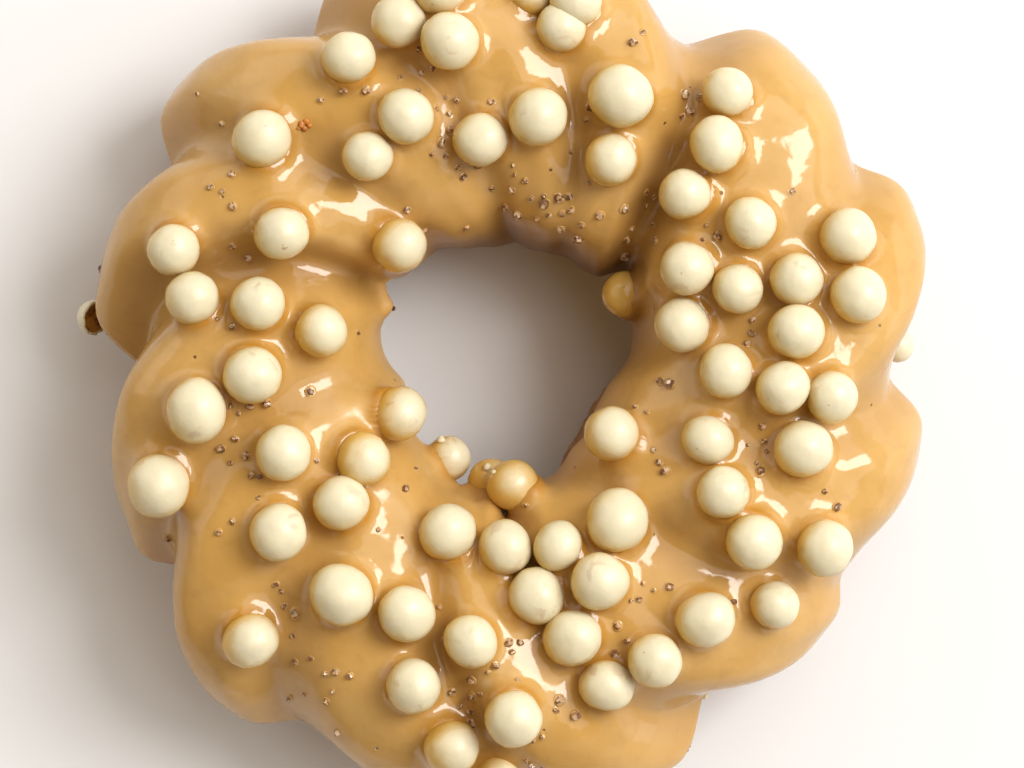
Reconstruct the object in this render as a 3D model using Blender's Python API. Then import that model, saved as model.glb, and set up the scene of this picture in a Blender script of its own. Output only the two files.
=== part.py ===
"""Iced churro doughnut with crisp pearls.

A rope of piped choux dough is closed into a ring and fried. Twelve flutes twist round it,
so that each groove leaves the outer edge, crosses the crown and runs down into the hole at
a slant. Caramel icing covers the crown and laps over the outer edge and into the hole, and
crisp white pearls are sunk in it.

Units are metres, +Z up. The origin lies on the plane that the ring rests on, under the
middle of the ring. A bearing is an angle round the ring from +X towards +Y. A roll is an
angle round the tube: 0 faces outward, a quarter turn faces up, a half turn faces the hole.
"""

import math
import random
from typing import NamedTuple

import bmesh
import bpy
import numpy as np
from mathutils import Euler, Matrix, Vector
from mathutils.bvhtree import BVHTree

MM = 0.001

# The tube, measured over its icing
WAIST_HEIGHT = 11.0 * MM  # level where the ring is widest
CROWN_RISE = 14.3 * MM  # waist up to the crown
BELLY_DROP = 14.8 * MM  # waist down to the belly, before the foot is pressed flat
SECTION_POWER = 2.5  # 2 is an ellipse, more is squarer

# Middle of the tube's circle, which lies a little off the middle of the whole ring's box
RING_PLACE = (1.1 * MM, 0.4 * MM, 0.0)

# Flutes
GROOVE_ROLL = math.radians(10.0)  # roll at which a groove has its outer bearing
UNDER_START = math.radians(215.0)  # under the belly the grooves swing back
UNDER_END = math.radians(330.0)
GROOVE_POWER = 4.0  # more makes narrower grooves between broader lobes
DOUGH_GROOVE_SCALE = 1.35  # grooves in the bare dough, before icing pools in them

# Gentle lumps of the piped dough
LUMP_SEED = 12
LUMP_WAVES = 9
LUMP_SIZE = 0.25 * MM

# Icing
ICING_THICKNESS = 1.15 * MM
ICING_TO_DOUGH = 2.0 * MM  # outer face of the icing to the dough under it
OUTER_RIM_ROLL = math.radians(-12.0)
INNER_RIM_ROLL = math.radians(192.0)
OUTER_RIM_SEED = 5
INNER_RIM_SEED = 44
RIM_WAVES = 5
RIM_WAVE_SIZE = math.radians(5.0)

# Bare crust at one side of the hole, where the icing stops short and the dough swells
BARE_BEARING = math.radians(327.0)
BARE_SPAN = math.radians(38.0)
BARE_POWER = 4.0  # more makes the stretch end more sharply
BARE_RETREAT = math.radians(12.0)
SWELL_SIZE = 3.1 * MM
SWELL_ROLL = math.radians(198.0)  # below the icing's edge
SWELL_SPAN = math.radians(13.0)

# Mesh fineness
FLUTE_STEPS = 7  # columns of faces to a flute
DOUGH_STEPS = 16
ICING_STEPS = 10
RIM_CROWDING = math.radians(5.0)  # closest that rows of faces come where a rim stops short
PEARL_SIDES = 8
PEARL_RINGS = 5

# Pearls
PEARL_SINK = 0.9 * MM  # how far a pearl's lowest point lies under the icing's face
PEARL_SEED = 3
PEARL_UNEVENNESS = 0.03
DROP_FROM = 45.0 * MM  # a pearl is let down from here, over its place
DROP_STEPS = 80

# Colour (linear red, green, blue) and roughness
FRIED_DOUGH = ((0.33, 0.13, 0.035), 0.6)
CARAMEL_ICING = ((0.62, 0.37, 0.14), 0.2)
CRISP_PEARL = ((0.86, 0.74, 0.48), 0.35)


class Flute(NamedTuple):
    """A groove and the lobe after it: bearings in degrees, sizes in millimetres."""

    outer_bearing: float  # where the groove lies at the outer edge
    crown_bearing: float
    hole_bearing: float
    outer_reach: float  # axis to the lobe's tip at the outer edge
    hole_reach: float  # axis to the same lobe's tip in the hole
    outer_depth: float  # depth of the groove at the outer edge
    crown_depth: float
    hole_depth: float
    lean: float  # 0 is an even lobe, more moves its bulge at the outer edge towards the next groove


FLUTES = (
    Flute(0.2, -14.0, -30.0, 46.7, 10.3, 5.0, 1.2, 0.2, 0.76),
    Flute(31.8, 16.0, 2.0, 45.1, 12.9, 3.3, 1.1, 0.4, 0.11),
    Flute(63.1, 54.0, 38.0, 45.5, 13.4, 6.3, 3.0, 2.9, 0.61),
    Flute(94.0, 78.0, 64.0, 45.9, 13.4, 4.4, 1.6, 0.5, 0.17),
    Flute(122.2, 105.0, 88.0, 46.5, 13.9, 5.7, 1.6, 1.0, 0.59),
    Flute(150.0, 133.0, 119.0, 45.2, 15.3, 4.3, 1.5, 0.8, 0.22),
    Flute(181.1, 157.0, 145.0, 43.9, 14.2, 6.5, 2.1, 1.8, 0.80),
    Flute(212.4, 193.0, 176.0, 47.3, 11.3, 5.3, 1.1, 0.4, 0.52),
    Flute(239.7, 221.0, 205.0, 45.8, 12.2, 3.1, 1.0, 0.6, 0.63),
    Flute(276.9, 255.0, 238.0, 45.6, 13.2, 2.8, 1.8, 0.8, 0.00),
    Flute(302.0, 280.0, 267.0, 43.4, 11.8, 4.7, 1.7, 2.7, 0.80),
    Flute(329.1, 317.0, 298.0, 44.0, 10.2, 2.3, 1.7, 0.4, 0.61),
)

# Pearls on the icing, as (x, y, width) in millimetres, lobe after lobe round the ring
CROWN_PEARLS = (
    ((22.2, 0.0, 5.6), (29.5, 4.1, 6.0), (36.0, 7.9, 5.8), (17.8, 4.8, 5.8), (29.6, 9.5, 5.6)),
    ((23.5, 8.5, 5.4), (35.0, 14.0, 6.0), (18.2, 10.7, 5.8), (24.8, 15.3, 5.4)),
    ((18.0, 18.3, 5.6), (21.3, 23.4, 5.8), (22.5, 28.9, 5.2)),
    ((10.4, 21.8, 5.6), (11.4, 28.3, 6.4), (6.8, 38.2, 5.4), (5.3, 35.6, 5.4), (2.9, 26.2, 6.0)),
    ((2.1, 39.6, 5.2), (-3.1, 23.9, 5.8), (-7.2, 39.6, 5.4), (-6.2, 34.1, 6.0)),
    ((-11.6, 36.3, 5.6), (-10.8, 26.2, 5.8), (-16.7, 32.4, 5.6), (-14.7, 22.2, 5.4)),
    ((-11.5, 13.1, 5.8), (-25.7, 24.1, 6.3), (-23.6, 14.2, 5.9)),
    ((-34.9, 12.6, 5.6), (-26.0, 7.0, 5.6), (-32.9, 7.6, 5.8), (-19.5, 4.2, 5.5)),
    ((-26.6, -0.4, 6.2), (-32.4, -4.1, 6.6), (-36.5, -11.9, 6.4), (-23.4, -8.4, 5.6)),
    ((-11.5, -4.4, 5.7), (-15.2, -9.1, 6.0), (-23.9, -16.6, 6.1), (-17.5, -13.6, 5.8)),
    ((-26.9, -27.9, 5.9), (-17.4, -23.0, 6.5), (-10.7, -25.0, 5.8), (-6.5, -16.7, 6.1)),
    ((-10.0, -32.5, 5.6), (-6.0, -39.0, 5.8), (-4.1, -27.8, 5.6), (-1.4, -42.4, 5.0)),
    ((-0.5, -18.2, 5.7), (0.4, -35.7, 6.0), (2.7, -23.2, 5.9), (6.4, -27.6, 6.0)),
    ((4.9, -18.0, 5.3), (10.0, -32.5, 5.7), (9.2, -21.7, 6.2), (14.9, -29.9, 5.7)),
    ((11.1, -15.4, 6.4), (20.2, -25.6, 6.2), (27.5, -24.2, 5.2), (25.1, -17.6, 6.1)),
    ((10.5, -6.5, 5.5), (21.9, -12.5, 5.7), (32.6, -18.3, 5.8)),
    ((20.4, -7.1, 5.2), (30.3, -8.0, 6.1), (33.2, -2.7, 5.4), (28.1, -1.7, 5.8)),
)

# Pearls held by the wall of the hole, as (x, y, z, width) in millimetres
HOLE_PEARLS = (
    (-6.7, -9.3, 12.5, 4.8),
    (-2.3, -12.3, 13.0, 5.0),
    (0.4, -12.0, 17.5, 5.6),
    (11.2, 8.6, 13.5, 4.7),
)

# Broken bits of pearl stuck to the outer wall, as (x, y, z, width) in millimetres
OUTER_BITS = (
    (-44.4, 5.4, 9.5, 3.6),
    (41.4, 2.1, 9.5, 3.2),
)


def clear_scene():
    """Remove everything that is already in the file's scene."""
    for old in list(bpy.data.objects):
        bpy.data.objects.remove(old, do_unlink=True)


def make_collection(name):
    """Add a collection to the scene."""
    collection = bpy.data.collections.new(name)
    bpy.context.scene.collection.children.link(collection)
    return collection


def make_material(name, finish):
    """A Principled material with one colour and roughness."""
    colour, roughness = finish
    material = bpy.data.materials.new(name)
    material.use_nodes = True
    shader = material.node_tree.nodes["Principled BSDF"]
    shader.inputs["Base Color"].default_value = (*colour, 1.0)
    shader.inputs["Roughness"].default_value = roughness
    shader.inputs["Metallic"].default_value = 0.0
    return material


def adopt(obj, name, collection, material):
    """Name an object, give it its material and move it to its collection."""
    obj.name = name
    obj.data.name = name
    obj.data.materials.clear()
    obj.data.materials.append(material)
    for old in list(obj.users_collection):
        old.objects.unlink(obj)
    collection.objects.link(obj)
    return obj


def split_quads(obj):
    """Split each quad along its shorter diagonal, the same way on every layer of the ring."""
    mesh = bmesh.new()
    mesh.from_mesh(obj.data)
    bmesh.ops.triangulate(mesh, faces=mesh.faces, quad_method="SHORT_EDGE")
    mesh.to_mesh(obj.data)
    mesh.free()


def groove_bearing(flute, roll):
    """Bearing of a groove, on a smooth curve from outer edge over the crown to the hole."""
    if roll > UNDER_START:
        back = (roll - UNDER_START) / (UNDER_END - UNDER_START)
        return flute.hole_bearing + (flute.outer_bearing - flute.hole_bearing) * back
    share = (min(max(roll, GROOVE_ROLL), math.pi) - GROOVE_ROLL) / (math.pi - GROOVE_ROLL)
    crown_share = (math.pi / 2.0 - GROOVE_ROLL) / (math.pi - GROOVE_ROLL)
    whole = flute.hole_bearing - flute.outer_bearing
    part = flute.crown_bearing - flute.outer_bearing
    bend = (part - whole * crown_share) / (crown_share * (crown_share - 1.0))
    return flute.outer_bearing + whole * share + bend * share * (share - 1.0)


def flute_bearing(phase, roll):
    """Bearing of a line that runs along the flutes: phase 0 is the first groove, 1 the next."""
    grooves = [groove_bearing(flute, roll) for flute in FLUTES]
    grooves.append(grooves[0] + 360.0)
    return math.radians(np.interp(phase % len(FLUTES), range(len(grooves)), grooves))


def blend_round(values, phase):
    """Ease between the values at whole phases, closing on itself round the ring."""
    index = int(math.floor(phase))
    share = phase - index
    share = share * share * (3.0 - 2.0 * share)
    before = values[index % len(values)]
    after = values[(index + 1) % len(values)]
    return before + (after - before) * share


def waves(bearing, roll, seed, count, most_over):
    """Sum of sine waves that close on themselves both ways, of size about 1."""
    draw = random.Random(seed)
    total = 0.0
    for _ in range(count):
        around = draw.randint(2, 13)
        over = draw.randint(0, most_over)
        start = draw.uniform(0.0, math.tau)
        total += math.sin(around * bearing + over * roll + start)
    return total / math.sqrt(count)


def groove_depth(phase, roll):
    """Depth of the nearest groove, eased from outer edge to crown to hole."""
    side = math.cos(roll) ** 2
    crown = math.sin(roll) ** 2 if math.sin(roll) > 0.0 else 0.0
    rim = [flute.outer_depth if math.cos(roll) > 0.0 else flute.hole_depth for flute in FLUTES]
    over = [flute.crown_depth for flute in FLUTES]
    return (side * blend_round(rim, phase) + crown * blend_round(over, phase)) * MM


def leaned(phase, roll):
    """Phase of the flutes' profile, held back so that a leaning lobe bulges late."""
    index = math.floor(phase)
    share = phase - index
    lean = FLUTES[index % len(FLUTES)].lean * max(math.cos(roll), 0.0) ** 2
    return phase - lean * share * (1.0 - share)


def section_radius(roll, half_width):
    """Distance from the tube's middle to its skin, a squared-off ellipse."""
    rise = CROWN_RISE if math.sin(roll) > 0.0 else BELLY_DROP
    wide = abs(math.cos(roll) / half_width) ** SECTION_POWER
    high = abs(math.sin(roll) / rise) ** SECTION_POWER
    return (wide + high) ** (-1.0 / SECTION_POWER)


def skin_point(phase, roll, inset=0.0, groove_scale=1.0):
    """Point on the ring, inset from the icing's outer face."""
    bearing = flute_bearing(phase, roll)
    profile = leaned(phase, roll)
    outer = blend_round([flute.outer_reach for flute in FLUTES], profile - 0.5) * MM
    hole = blend_round([flute.hole_reach for flute in FLUTES], profile - 0.5) * MM
    groove = groove_depth(profile, roll) * abs(math.cos(math.pi * profile)) ** GROOVE_POWER
    lump = LUMP_SIZE * waves(bearing, roll, LUMP_SEED, LUMP_WAVES, 3)
    arm = section_radius(roll, (outer - hole) / 2.0) - groove * groove_scale + lump - inset
    reach = (outer + hole) / 2.0 + arm * math.cos(roll)
    height = WAIST_HEIGHT + arm * math.sin(roll)
    return Vector((reach * math.cos(bearing), reach * math.sin(bearing), height))


def bare_share(phase):
    """1 in the middle of the bare stretch of the hole's edge, falling to 0 beside it."""
    away = (flute_bearing(phase, math.pi) - BARE_BEARING + math.pi) % math.tau - math.pi
    return math.exp(-(abs(away / BARE_SPAN) ** BARE_POWER))


def crust_swell(phase, roll):
    """Bulge of the dough towards the hole along the bare stretch."""
    return SWELL_SIZE * bare_share(phase) * math.exp(-(((roll - SWELL_ROLL) / SWELL_SPAN) ** 2))


def rim_rolls(phase):
    """Rolls of the icing's outer and inner rim, which wander as poured icing does."""
    turn = phase * math.tau / len(FLUTES)
    outer = OUTER_RIM_ROLL + RIM_WAVE_SIZE * waves(turn, 0.0, OUTER_RIM_SEED, RIM_WAVES, 0)
    inner = INNER_RIM_ROLL + RIM_WAVE_SIZE * waves(turn, 0.0, INNER_RIM_SEED, RIM_WAVES, 0)
    return outer, inner - BARE_RETREAT * bare_share(phase)


def icing_roll(row, phase):
    """Roll of a row of the icing, on the dough's own rows except at the two rims."""
    outer, inner = rim_rolls(phase)
    if row == 0:
        return outer
    if row == ICING_STEPS:
        return inner
    return min((row - 1) * math.tau / DOUGH_STEPS, inner - (ICING_STEPS - row) * RIM_CROWDING)


def make_torus(minor_steps):
    """A torus primitive with the same number of columns of faces to every flute."""
    bpy.ops.mesh.primitive_torus_add(
        major_segments=FLUTE_STEPS * len(FLUTES),
        minor_segments=minor_steps,
        major_radius=1.0,
        minor_radius=0.5,
    )
    return bpy.context.object


def torus_place(vertex):
    """Flute phase and turn round the tube of a point of the torus primitive."""
    phase = math.atan2(vertex.co.y, vertex.co.x) / math.tau * len(FLUTES)
    turn = math.atan2(vertex.co.z, math.hypot(vertex.co.x, vertex.co.y) - 1.0)
    return phase, turn


def make_dough(collection):
    """The fried ring: a torus whose points move to the fluted skin, with a flat foot."""
    dough = make_torus(DOUGH_STEPS)
    for vertex in dough.data.vertices:
        phase, roll = torus_place(vertex)
        if roll < UNDER_END - math.tau:
            roll += math.tau
        inset = ICING_TO_DOUGH - crust_swell(phase, roll)
        vertex.co = skin_point(phase, roll, inset, DOUGH_GROOVE_SCALE)
        vertex.co.z = max(vertex.co.z, 0.0)
    split_quads(dough)
    dough.data.shade_smooth()
    return adopt(dough, "dough_ring", collection, make_material("fried_dough", FRIED_DOUGH))


def make_icing_skin(collection):
    """The icing: a torus pressed flat into a skin, out along one face and back along the other."""
    rows = 2 * (ICING_STEPS + 1)
    icing = make_torus(rows)
    for vertex in icing.data.vertices:
        phase, turn = torus_place(vertex)
        row = round(turn / math.tau * rows) % rows
        outside = row <= ICING_STEPS
        roll = icing_roll(row if outside else rows - 1 - row, phase)
        vertex.co = skin_point(phase, roll, 0.0 if outside else ICING_THICKNESS)
    split_quads(icing)
    icing.data.shade_smooth()
    return adopt(icing, "caramel_icing", collection, make_material("caramel_icing", CARAMEL_ICING))


def drop_height(skin, place, radius):
    """Height at which a pearl dropped over a place has sunk into the skin by its share."""
    height = DROP_FROM
    for _ in range(DROP_STEPS):
        _, _, _, distance = skin.find_nearest(Vector((place[0], place[1], height)))
        height -= distance - (radius - PEARL_SINK)
    return height


def pressed_to_wall(skin, place, radius):
    """Centre of a pearl near a place, sunk by its share into the nearest skin."""
    nearest, normal, _, _ = skin.find_nearest(place)
    return nearest + normal * (radius - PEARL_SINK)


def pearl_seats(skin):
    """Centre and radius of every pearl and broken bit."""
    seats = []
    for lobe in CROWN_PEARLS:
        for x, y, across in lobe:
            radius = across / 2.0 * MM
            seats.append((Vector((x * MM, y * MM, drop_height(skin, (x * MM, y * MM), radius))), radius))
    for x, y, z, across in HOLE_PEARLS + OUTER_BITS:
        radius = across / 2.0 * MM
        seats.append((pressed_to_wall(skin, Vector((x, y, z)) * MM, radius), radius))
    return seats


def make_pearl(index, centre, radius, draw, collection, material):
    """One slightly uneven pearl."""
    bpy.ops.mesh.primitive_uv_sphere_add(segments=PEARL_SIDES, ring_count=PEARL_RINGS, radius=radius)
    pearl = bpy.context.object
    turn = Euler([draw.uniform(0.0, math.tau) for _ in range(3)]).to_matrix().to_4x4()
    stretch = [1.0 + draw.uniform(-PEARL_UNEVENNESS, PEARL_UNEVENNESS) for _ in range(3)]
    pearl.data.transform(Matrix.Translation(centre) @ turn @ Matrix.Diagonal((*stretch, 1.0)))
    pearl.hide_render = True
    pearl.display_type = "WIRE"
    return adopt(pearl, f"pearl_{index:02d}", collection, material)


def fuse(obj, collection):
    """Join a collection's solids to an object and remove them."""
    union = obj.modifiers.new("pearls", "BOOLEAN")
    union.operation = "UNION"
    union.operand_type = "COLLECTION"
    union.collection = collection
    union.solver = "EXACT"
    evaluated = obj.evaluated_get(bpy.context.evaluated_depsgraph_get())
    joined = bpy.data.meshes.new_from_object(evaluated)
    joined.name = obj.name
    obj.modifiers.clear()
    obj.data = joined
    for piece in list(collection.objects):
        bpy.data.objects.remove(piece, do_unlink=True)
    bpy.data.collections.remove(collection)


def make_icing(collection):
    """The icing with its pearls as one solid."""
    icing = make_icing_skin(collection)
    bare = bmesh.new()
    bare.from_mesh(icing.data)
    skin = BVHTree.FromBMesh(bare)
    bare.free()
    toppings = make_collection("pearls_to_fuse")
    pearl_white = make_material("crisp_pearl", CRISP_PEARL)
    draw = random.Random(PEARL_SEED)
    for index, (centre, radius) in enumerate(pearl_seats(skin)):
        make_pearl(index, centre, radius, draw, toppings, pearl_white)
    fuse(icing, toppings)
    return icing


def place_ring(pieces):
    """Move the pieces so that the origin lies under the middle of their box."""
    for piece in pieces:
        piece.data.transform(Matrix.Translation(RING_PLACE))


def main():
    """Build the doughnut."""
    clear_scene()
    doughnut = make_collection("churro_doughnut")
    place_ring([make_dough(doughnut), make_icing(doughnut)])


main()
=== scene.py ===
"""Looks of an iced churro doughnut: fluted dough, caramel icing, crisp pearls and sugar grains.

Units are metres, +Z up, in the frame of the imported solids. A bearing is an angle round the ring
from +X towards +Y. A roll is an angle round the tube: 0 faces outward, a quarter turn faces up and
a half turn faces the hole. A phase counts flutes: 0 is the first groove, 1 the next, and so on.
"""

import logging
import math
import random
from dataclasses import dataclass
from enum import Enum
from typing import Any, Iterable, NamedTuple, Sequence, Union

import bmesh
import bpy
import numpy as np
from mathutils import Matrix, Vector, noise
from mathutils.bvhtree import BVHTree


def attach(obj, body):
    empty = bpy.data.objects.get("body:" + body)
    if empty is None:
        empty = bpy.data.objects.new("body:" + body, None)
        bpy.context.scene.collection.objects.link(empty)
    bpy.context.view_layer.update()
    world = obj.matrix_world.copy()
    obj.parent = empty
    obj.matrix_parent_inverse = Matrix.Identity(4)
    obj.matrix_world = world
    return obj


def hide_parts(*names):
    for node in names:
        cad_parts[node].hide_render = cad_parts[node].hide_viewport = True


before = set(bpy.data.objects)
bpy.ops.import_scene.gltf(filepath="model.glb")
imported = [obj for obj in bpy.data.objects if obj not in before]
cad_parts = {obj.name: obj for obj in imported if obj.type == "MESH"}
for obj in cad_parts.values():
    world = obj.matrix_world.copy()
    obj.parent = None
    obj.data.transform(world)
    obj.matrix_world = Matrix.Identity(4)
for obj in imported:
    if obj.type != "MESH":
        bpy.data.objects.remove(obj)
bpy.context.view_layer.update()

LOG = logging.getLogger("churro_doughnut")
MM = 0.001
BODY = "root"
PEARL_SINK = 0.9 * MM  # how far a pearl's lowest point lies under the icing's face
DROP_FROM = 45.0 * MM  # what falls on the icing is let down from here
DOWN = Vector((0.0, 0.0, -1.0))
RING_PLACE = (1.1 * MM, 0.4 * MM, 0.0)  # middle of the tube's circle
WAVE_TURNS = (2, 13)  # fewest and most turns of a wave round the ring
NOISE_FALL = 0.9  # how fast finer octaves of noise fade
NOISE_STEP = 2.0  # how much finer each octave is
LEAST_LENGTH = 1e-12  # keeps a division by a length from failing
ON_AXIS = 1e-6  # a point nearer the axis than this share of a radius is on it

Colour = tuple[float, float, float]
Span = tuple[float, float]


class Slot(Enum):
    """Material slots of the record."""

    DOUGH = "fried_dough"
    ICING = "caramel_icing"


class Clouds(NamedTuple):
    """Soft noise: width of its largest patches, octaves finer than them, and swirl."""

    size: float
    detail: float
    swirl: float = 0.0


class Flute(NamedTuple):
    """A groove and the lobe after it: bearings in degrees, sizes in millimetres."""

    outer_bearing: float
    crown_bearing: float
    hole_bearing: float
    outer_reach: float
    hole_reach: float
    outer_depth: float
    crown_depth: float
    hole_depth: float
    lean: float  # moves the lobe's bulge at the outer edge towards the next groove


FLUTES = (
    Flute(0.2, -14.0, -30.0, 46.7, 10.3, 5.0, 1.2, 0.2, 0.76),
    Flute(31.8, 16.0, 2.0, 45.1, 12.9, 3.3, 1.1, 0.4, 0.11),
    Flute(63.1, 54.0, 38.0, 45.5, 13.4, 6.3, 3.4, 3.3, 0.61),
    Flute(94.0, 78.0, 64.0, 45.9, 13.4, 4.4, 1.6, 0.5, 0.17),
    Flute(122.2, 105.0, 88.0, 46.5, 13.9, 5.7, 1.6, 1.0, 0.59),
    Flute(150.0, 133.0, 119.0, 45.2, 15.3, 4.3, 1.5, 0.8, 0.22),
    Flute(181.1, 157.0, 145.0, 43.9, 14.2, 6.5, 2.8, 1.8, 0.80),
    Flute(212.4, 193.0, 176.0, 47.3, 11.3, 5.3, 1.1, 0.4, 0.52),
    Flute(239.7, 221.0, 205.0, 45.8, 12.2, 3.1, 1.0, 0.6, 0.63),
    Flute(276.9, 255.0, 238.0, 45.6, 13.2, 2.8, 1.8, 0.8, 0.00),
    Flute(302.0, 280.0, 267.0, 43.4, 11.8, 4.7, 1.7, 2.7, 0.80),
    Flute(329.1, 317.0, 298.0, 44.0, 10.2, 2.3, 1.7, 0.4, 0.61),
)


class Pearl(NamedTuple):
    """A pearl seen from above: place and width in millimetres, and how far icing coats it."""

    x: float
    y: float
    width: float
    coat: float = 0.12


# Pearls on the icing, lobe after lobe round the ring
CROWN_PEARLS = (
    ((22.2, 0.0, 5.6), (29.5, 4.1, 6.0), (36.0, 7.9, 5.8), (17.8, 4.8, 5.8), (29.6, 9.5, 5.6)),
    ((23.5, 8.5, 5.4), (35.0, 14.0, 6.0), (18.2, 10.7, 5.8), (24.8, 15.3, 5.4)),
    ((18.0, 18.3, 5.6), (21.3, 23.4, 5.8), (22.5, 28.9, 5.2)),
    (
        (10.4, 21.8, 5.6, 0.3), (11.4, 28.3, 6.4), (6.8, 38.2, 5.4), (5.3, 35.6, 5.4),
        (2.9, 26.2, 6.0),
    ),
    ((2.1, 39.6, 5.2, 0.4), (-3.1, 23.9, 5.8), (-7.2, 39.6, 5.4), (-6.2, 34.1, 6.0)),
    ((-11.6, 36.3, 5.6), (-10.8, 26.2, 5.8), (-16.7, 32.4, 5.6), (-14.7, 22.2, 5.4)),
    ((-11.5, 13.1, 5.8, 0.38), (-25.7, 24.1, 6.3), (-23.6, 14.2, 5.9)),
    ((-34.9, 12.6, 5.6), (-26.0, 7.0, 5.6), (-32.9, 7.6, 5.8), (-19.5, 4.2, 5.5, 0.35)),
    ((-26.6, -0.4, 6.2), (-32.4, -4.1, 6.6), (-36.5, -11.9, 6.4, 0.2), (-23.4, -8.4, 5.6)),
    ((-11.5, -4.4, 5.7, 0.38), (-15.2, -9.1, 6.0, 0.42), (-23.9, -16.6, 6.1), (-17.5, -13.6, 5.8)),
    ((-26.9, -27.9, 5.9, 0.3), (-17.4, -23.0, 6.5), (-10.7, -25.0, 5.8), (-6.5, -16.7, 6.1)),
    ((-10.0, -32.5, 5.6), (-6.0, -39.0, 5.8, 0.4), (-4.1, -27.8, 5.6), (-1.4, -42.4, 5.0, 0.5)),
    ((-0.5, -18.2, 5.7), (0.4, -35.7, 6.0), (2.7, -23.2, 5.9), (6.4, -27.6, 6.0)),
    ((4.9, -18.0, 5.3), (10.0, -32.5, 5.7), (9.2, -21.7, 6.2), (14.9, -29.9, 5.7)),
    ((11.1, -15.4, 6.4), (20.2, -25.6, 6.2), (27.5, -24.2, 5.2), (25.1, -17.6, 6.1)),
    ((10.6, -6.5, 5.8, 0.3), (21.9, -12.5, 5.7), (32.6, -18.3, 5.8)),
    ((20.4, -7.1, 5.2), (30.3, -8.0, 6.1), (33.2, -2.7, 5.4), (28.1, -1.7, 5.8)),
)

# Pearls held by the wall of the hole, as (x, y, z, width, coat)
HOLE_PEARLS = (
    (-6.7, -9.3, 12.5, 4.8, 0.3),
    (-2.3, -12.3, 13.0, 5.0, 0.62),
    (0.4, -12.0, 17.5, 5.6, 0.5),
    (11.2, 8.4, 16.0, 4.7, 0.75),
)

# Low swells and hollows of the icing, as (x, y, z, spread, height) in millimetres
SWELLS = (
    (-13.4, 9.1, 14.5, 0.9, 1.1),
    (-13.2, 8.0, 14.5, 0.9, 1.1),
    (-13.0, 6.8, 14.5, 0.9, 1.4),
    (0.0, 14.8, 10.0, 3.4, 1.0),
    (14.0, 7.2, 17.5, 4.4, -2.3),
    (11.9, 6.9, 10.0, 2.6, -2.0),
    (6.3, 17.6, 20.5, 3.8, 1.3),
    (2.6, 15.6, 17.0, 1.5, -0.7),
    (6.5, 14.6, 15.5, 1.8, -0.9),
    (10.2, 15.2, 17.5, 1.8, -1.1),
    (-18.8, 13.6, 26.0, 1.0, 0.4),
    (20.5, -17.3, 25.5, 4.5, 1.0),
    (31.0, 26.0, 22.0, 5.0, 0.9),
    (13.3, 27.5, 25.0, 4.0, 0.8),
    (17.4, 28.2, 22.5, 3.4, 0.9),
    (11.1, -36.1, 22.5, 2.6, 0.9),
    (-0.9, -32.8, 25.5, 2.6, 0.9),
    (-6.8, 27.0, 26.0, 2.5, 0.9),
)

# Crumbs let down on the icing, as (x, y, width) in millimetres and a tone from dark to pale
CRUMBS = (
    (-21.6, 25.6, 0.75, 0.4), (-21.1, 25.9, 0.6, 0.5), (-21.3, 25.2, 0.65, 0.35),
    (-20.8, 25.5, 0.5, 0.45), (-21.9, 25.2, 0.45, 0.45), (-7.3, -7.3, 0.8, 1.0),
    (-2.4, -10.2, 0.8, 1.0), (-1.7, -10.6, 0.6, 1.0),
)

# Crumbs stuck to walls, as (x, y, z, width) in millimetres and a tone
WALL_CRUMBS = (
    (-44.1, 11.1, 11.0, 0.75, 0.1), (-43.9, 10.8, 11.4, 0.5, 0.2), (-12.2, 6.6, 14.3, 0.5, 0.0),
    (21.2, -34.7, 12.0, 0.9, 0.8), (17.2, -41.0, 9.0, 0.5, 0.0), (17.5, -40.7, 9.2, 0.55, 0.0),
    (17.8, -40.4, 9.4, 0.6, 0.0), (18.1, -40.0, 9.6, 0.6, 0.0), (18.3, -39.6, 9.8, 0.5, 0.0),
    (18.5, -39.3, 10.0, 0.4, 0.0),
)

# Patches of sugar grains seen from above, as (x, y, spread) in millimetres and a count
SUGAR_PATCHES = (
    (-23.7, -24.6, 1.5, 7), (-19.9, -33.4, 1.6, 8), (-29.5, -11.1, 2.2, 10), (-27.6, -4.7, 1.6, 5),
    (-28.4, 4.5, 1.0, 4), (-28.2, 12.2, 0.8, 3), (-29.5, 18.6, 1.5, 4), (-17.0, 27.6, 1.2, 3),
    (-7.8, 31.3, 2.2, 8), (-6.4, 27.6, 1.6, 14), (-7.2, 22.6, 1.6, 10), (-3.8, 19.9, 1.8, 7),
    (1.3, 17.8, 2.0, 12), (7.1, 16.2, 2.0, 10), (12.6, 16.5, 2.0, 10), (19.8, 13.5, 1.4, 5),
    (24.0, 1.9, 1.3, 5), (26.4, -8.2, 1.6, 10), (14.2, -22.8, 1.4, 8), (12.4, -28.6, 1.6, 9),
    (2.3, -29.4, 1.6, 8), (-1.4, -32.0, 1.5, 8), (-4.8, -34.7, 1.2, 6), (4.7, -35.2, 1.0, 3),
    (2.6, -40.2, 1.4, 5), (16.6, -1.3, 0.6, 2), (18.7, 28.4, 1.2, 4), (33.1, -15.0, 1.0, 3),
)


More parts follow.
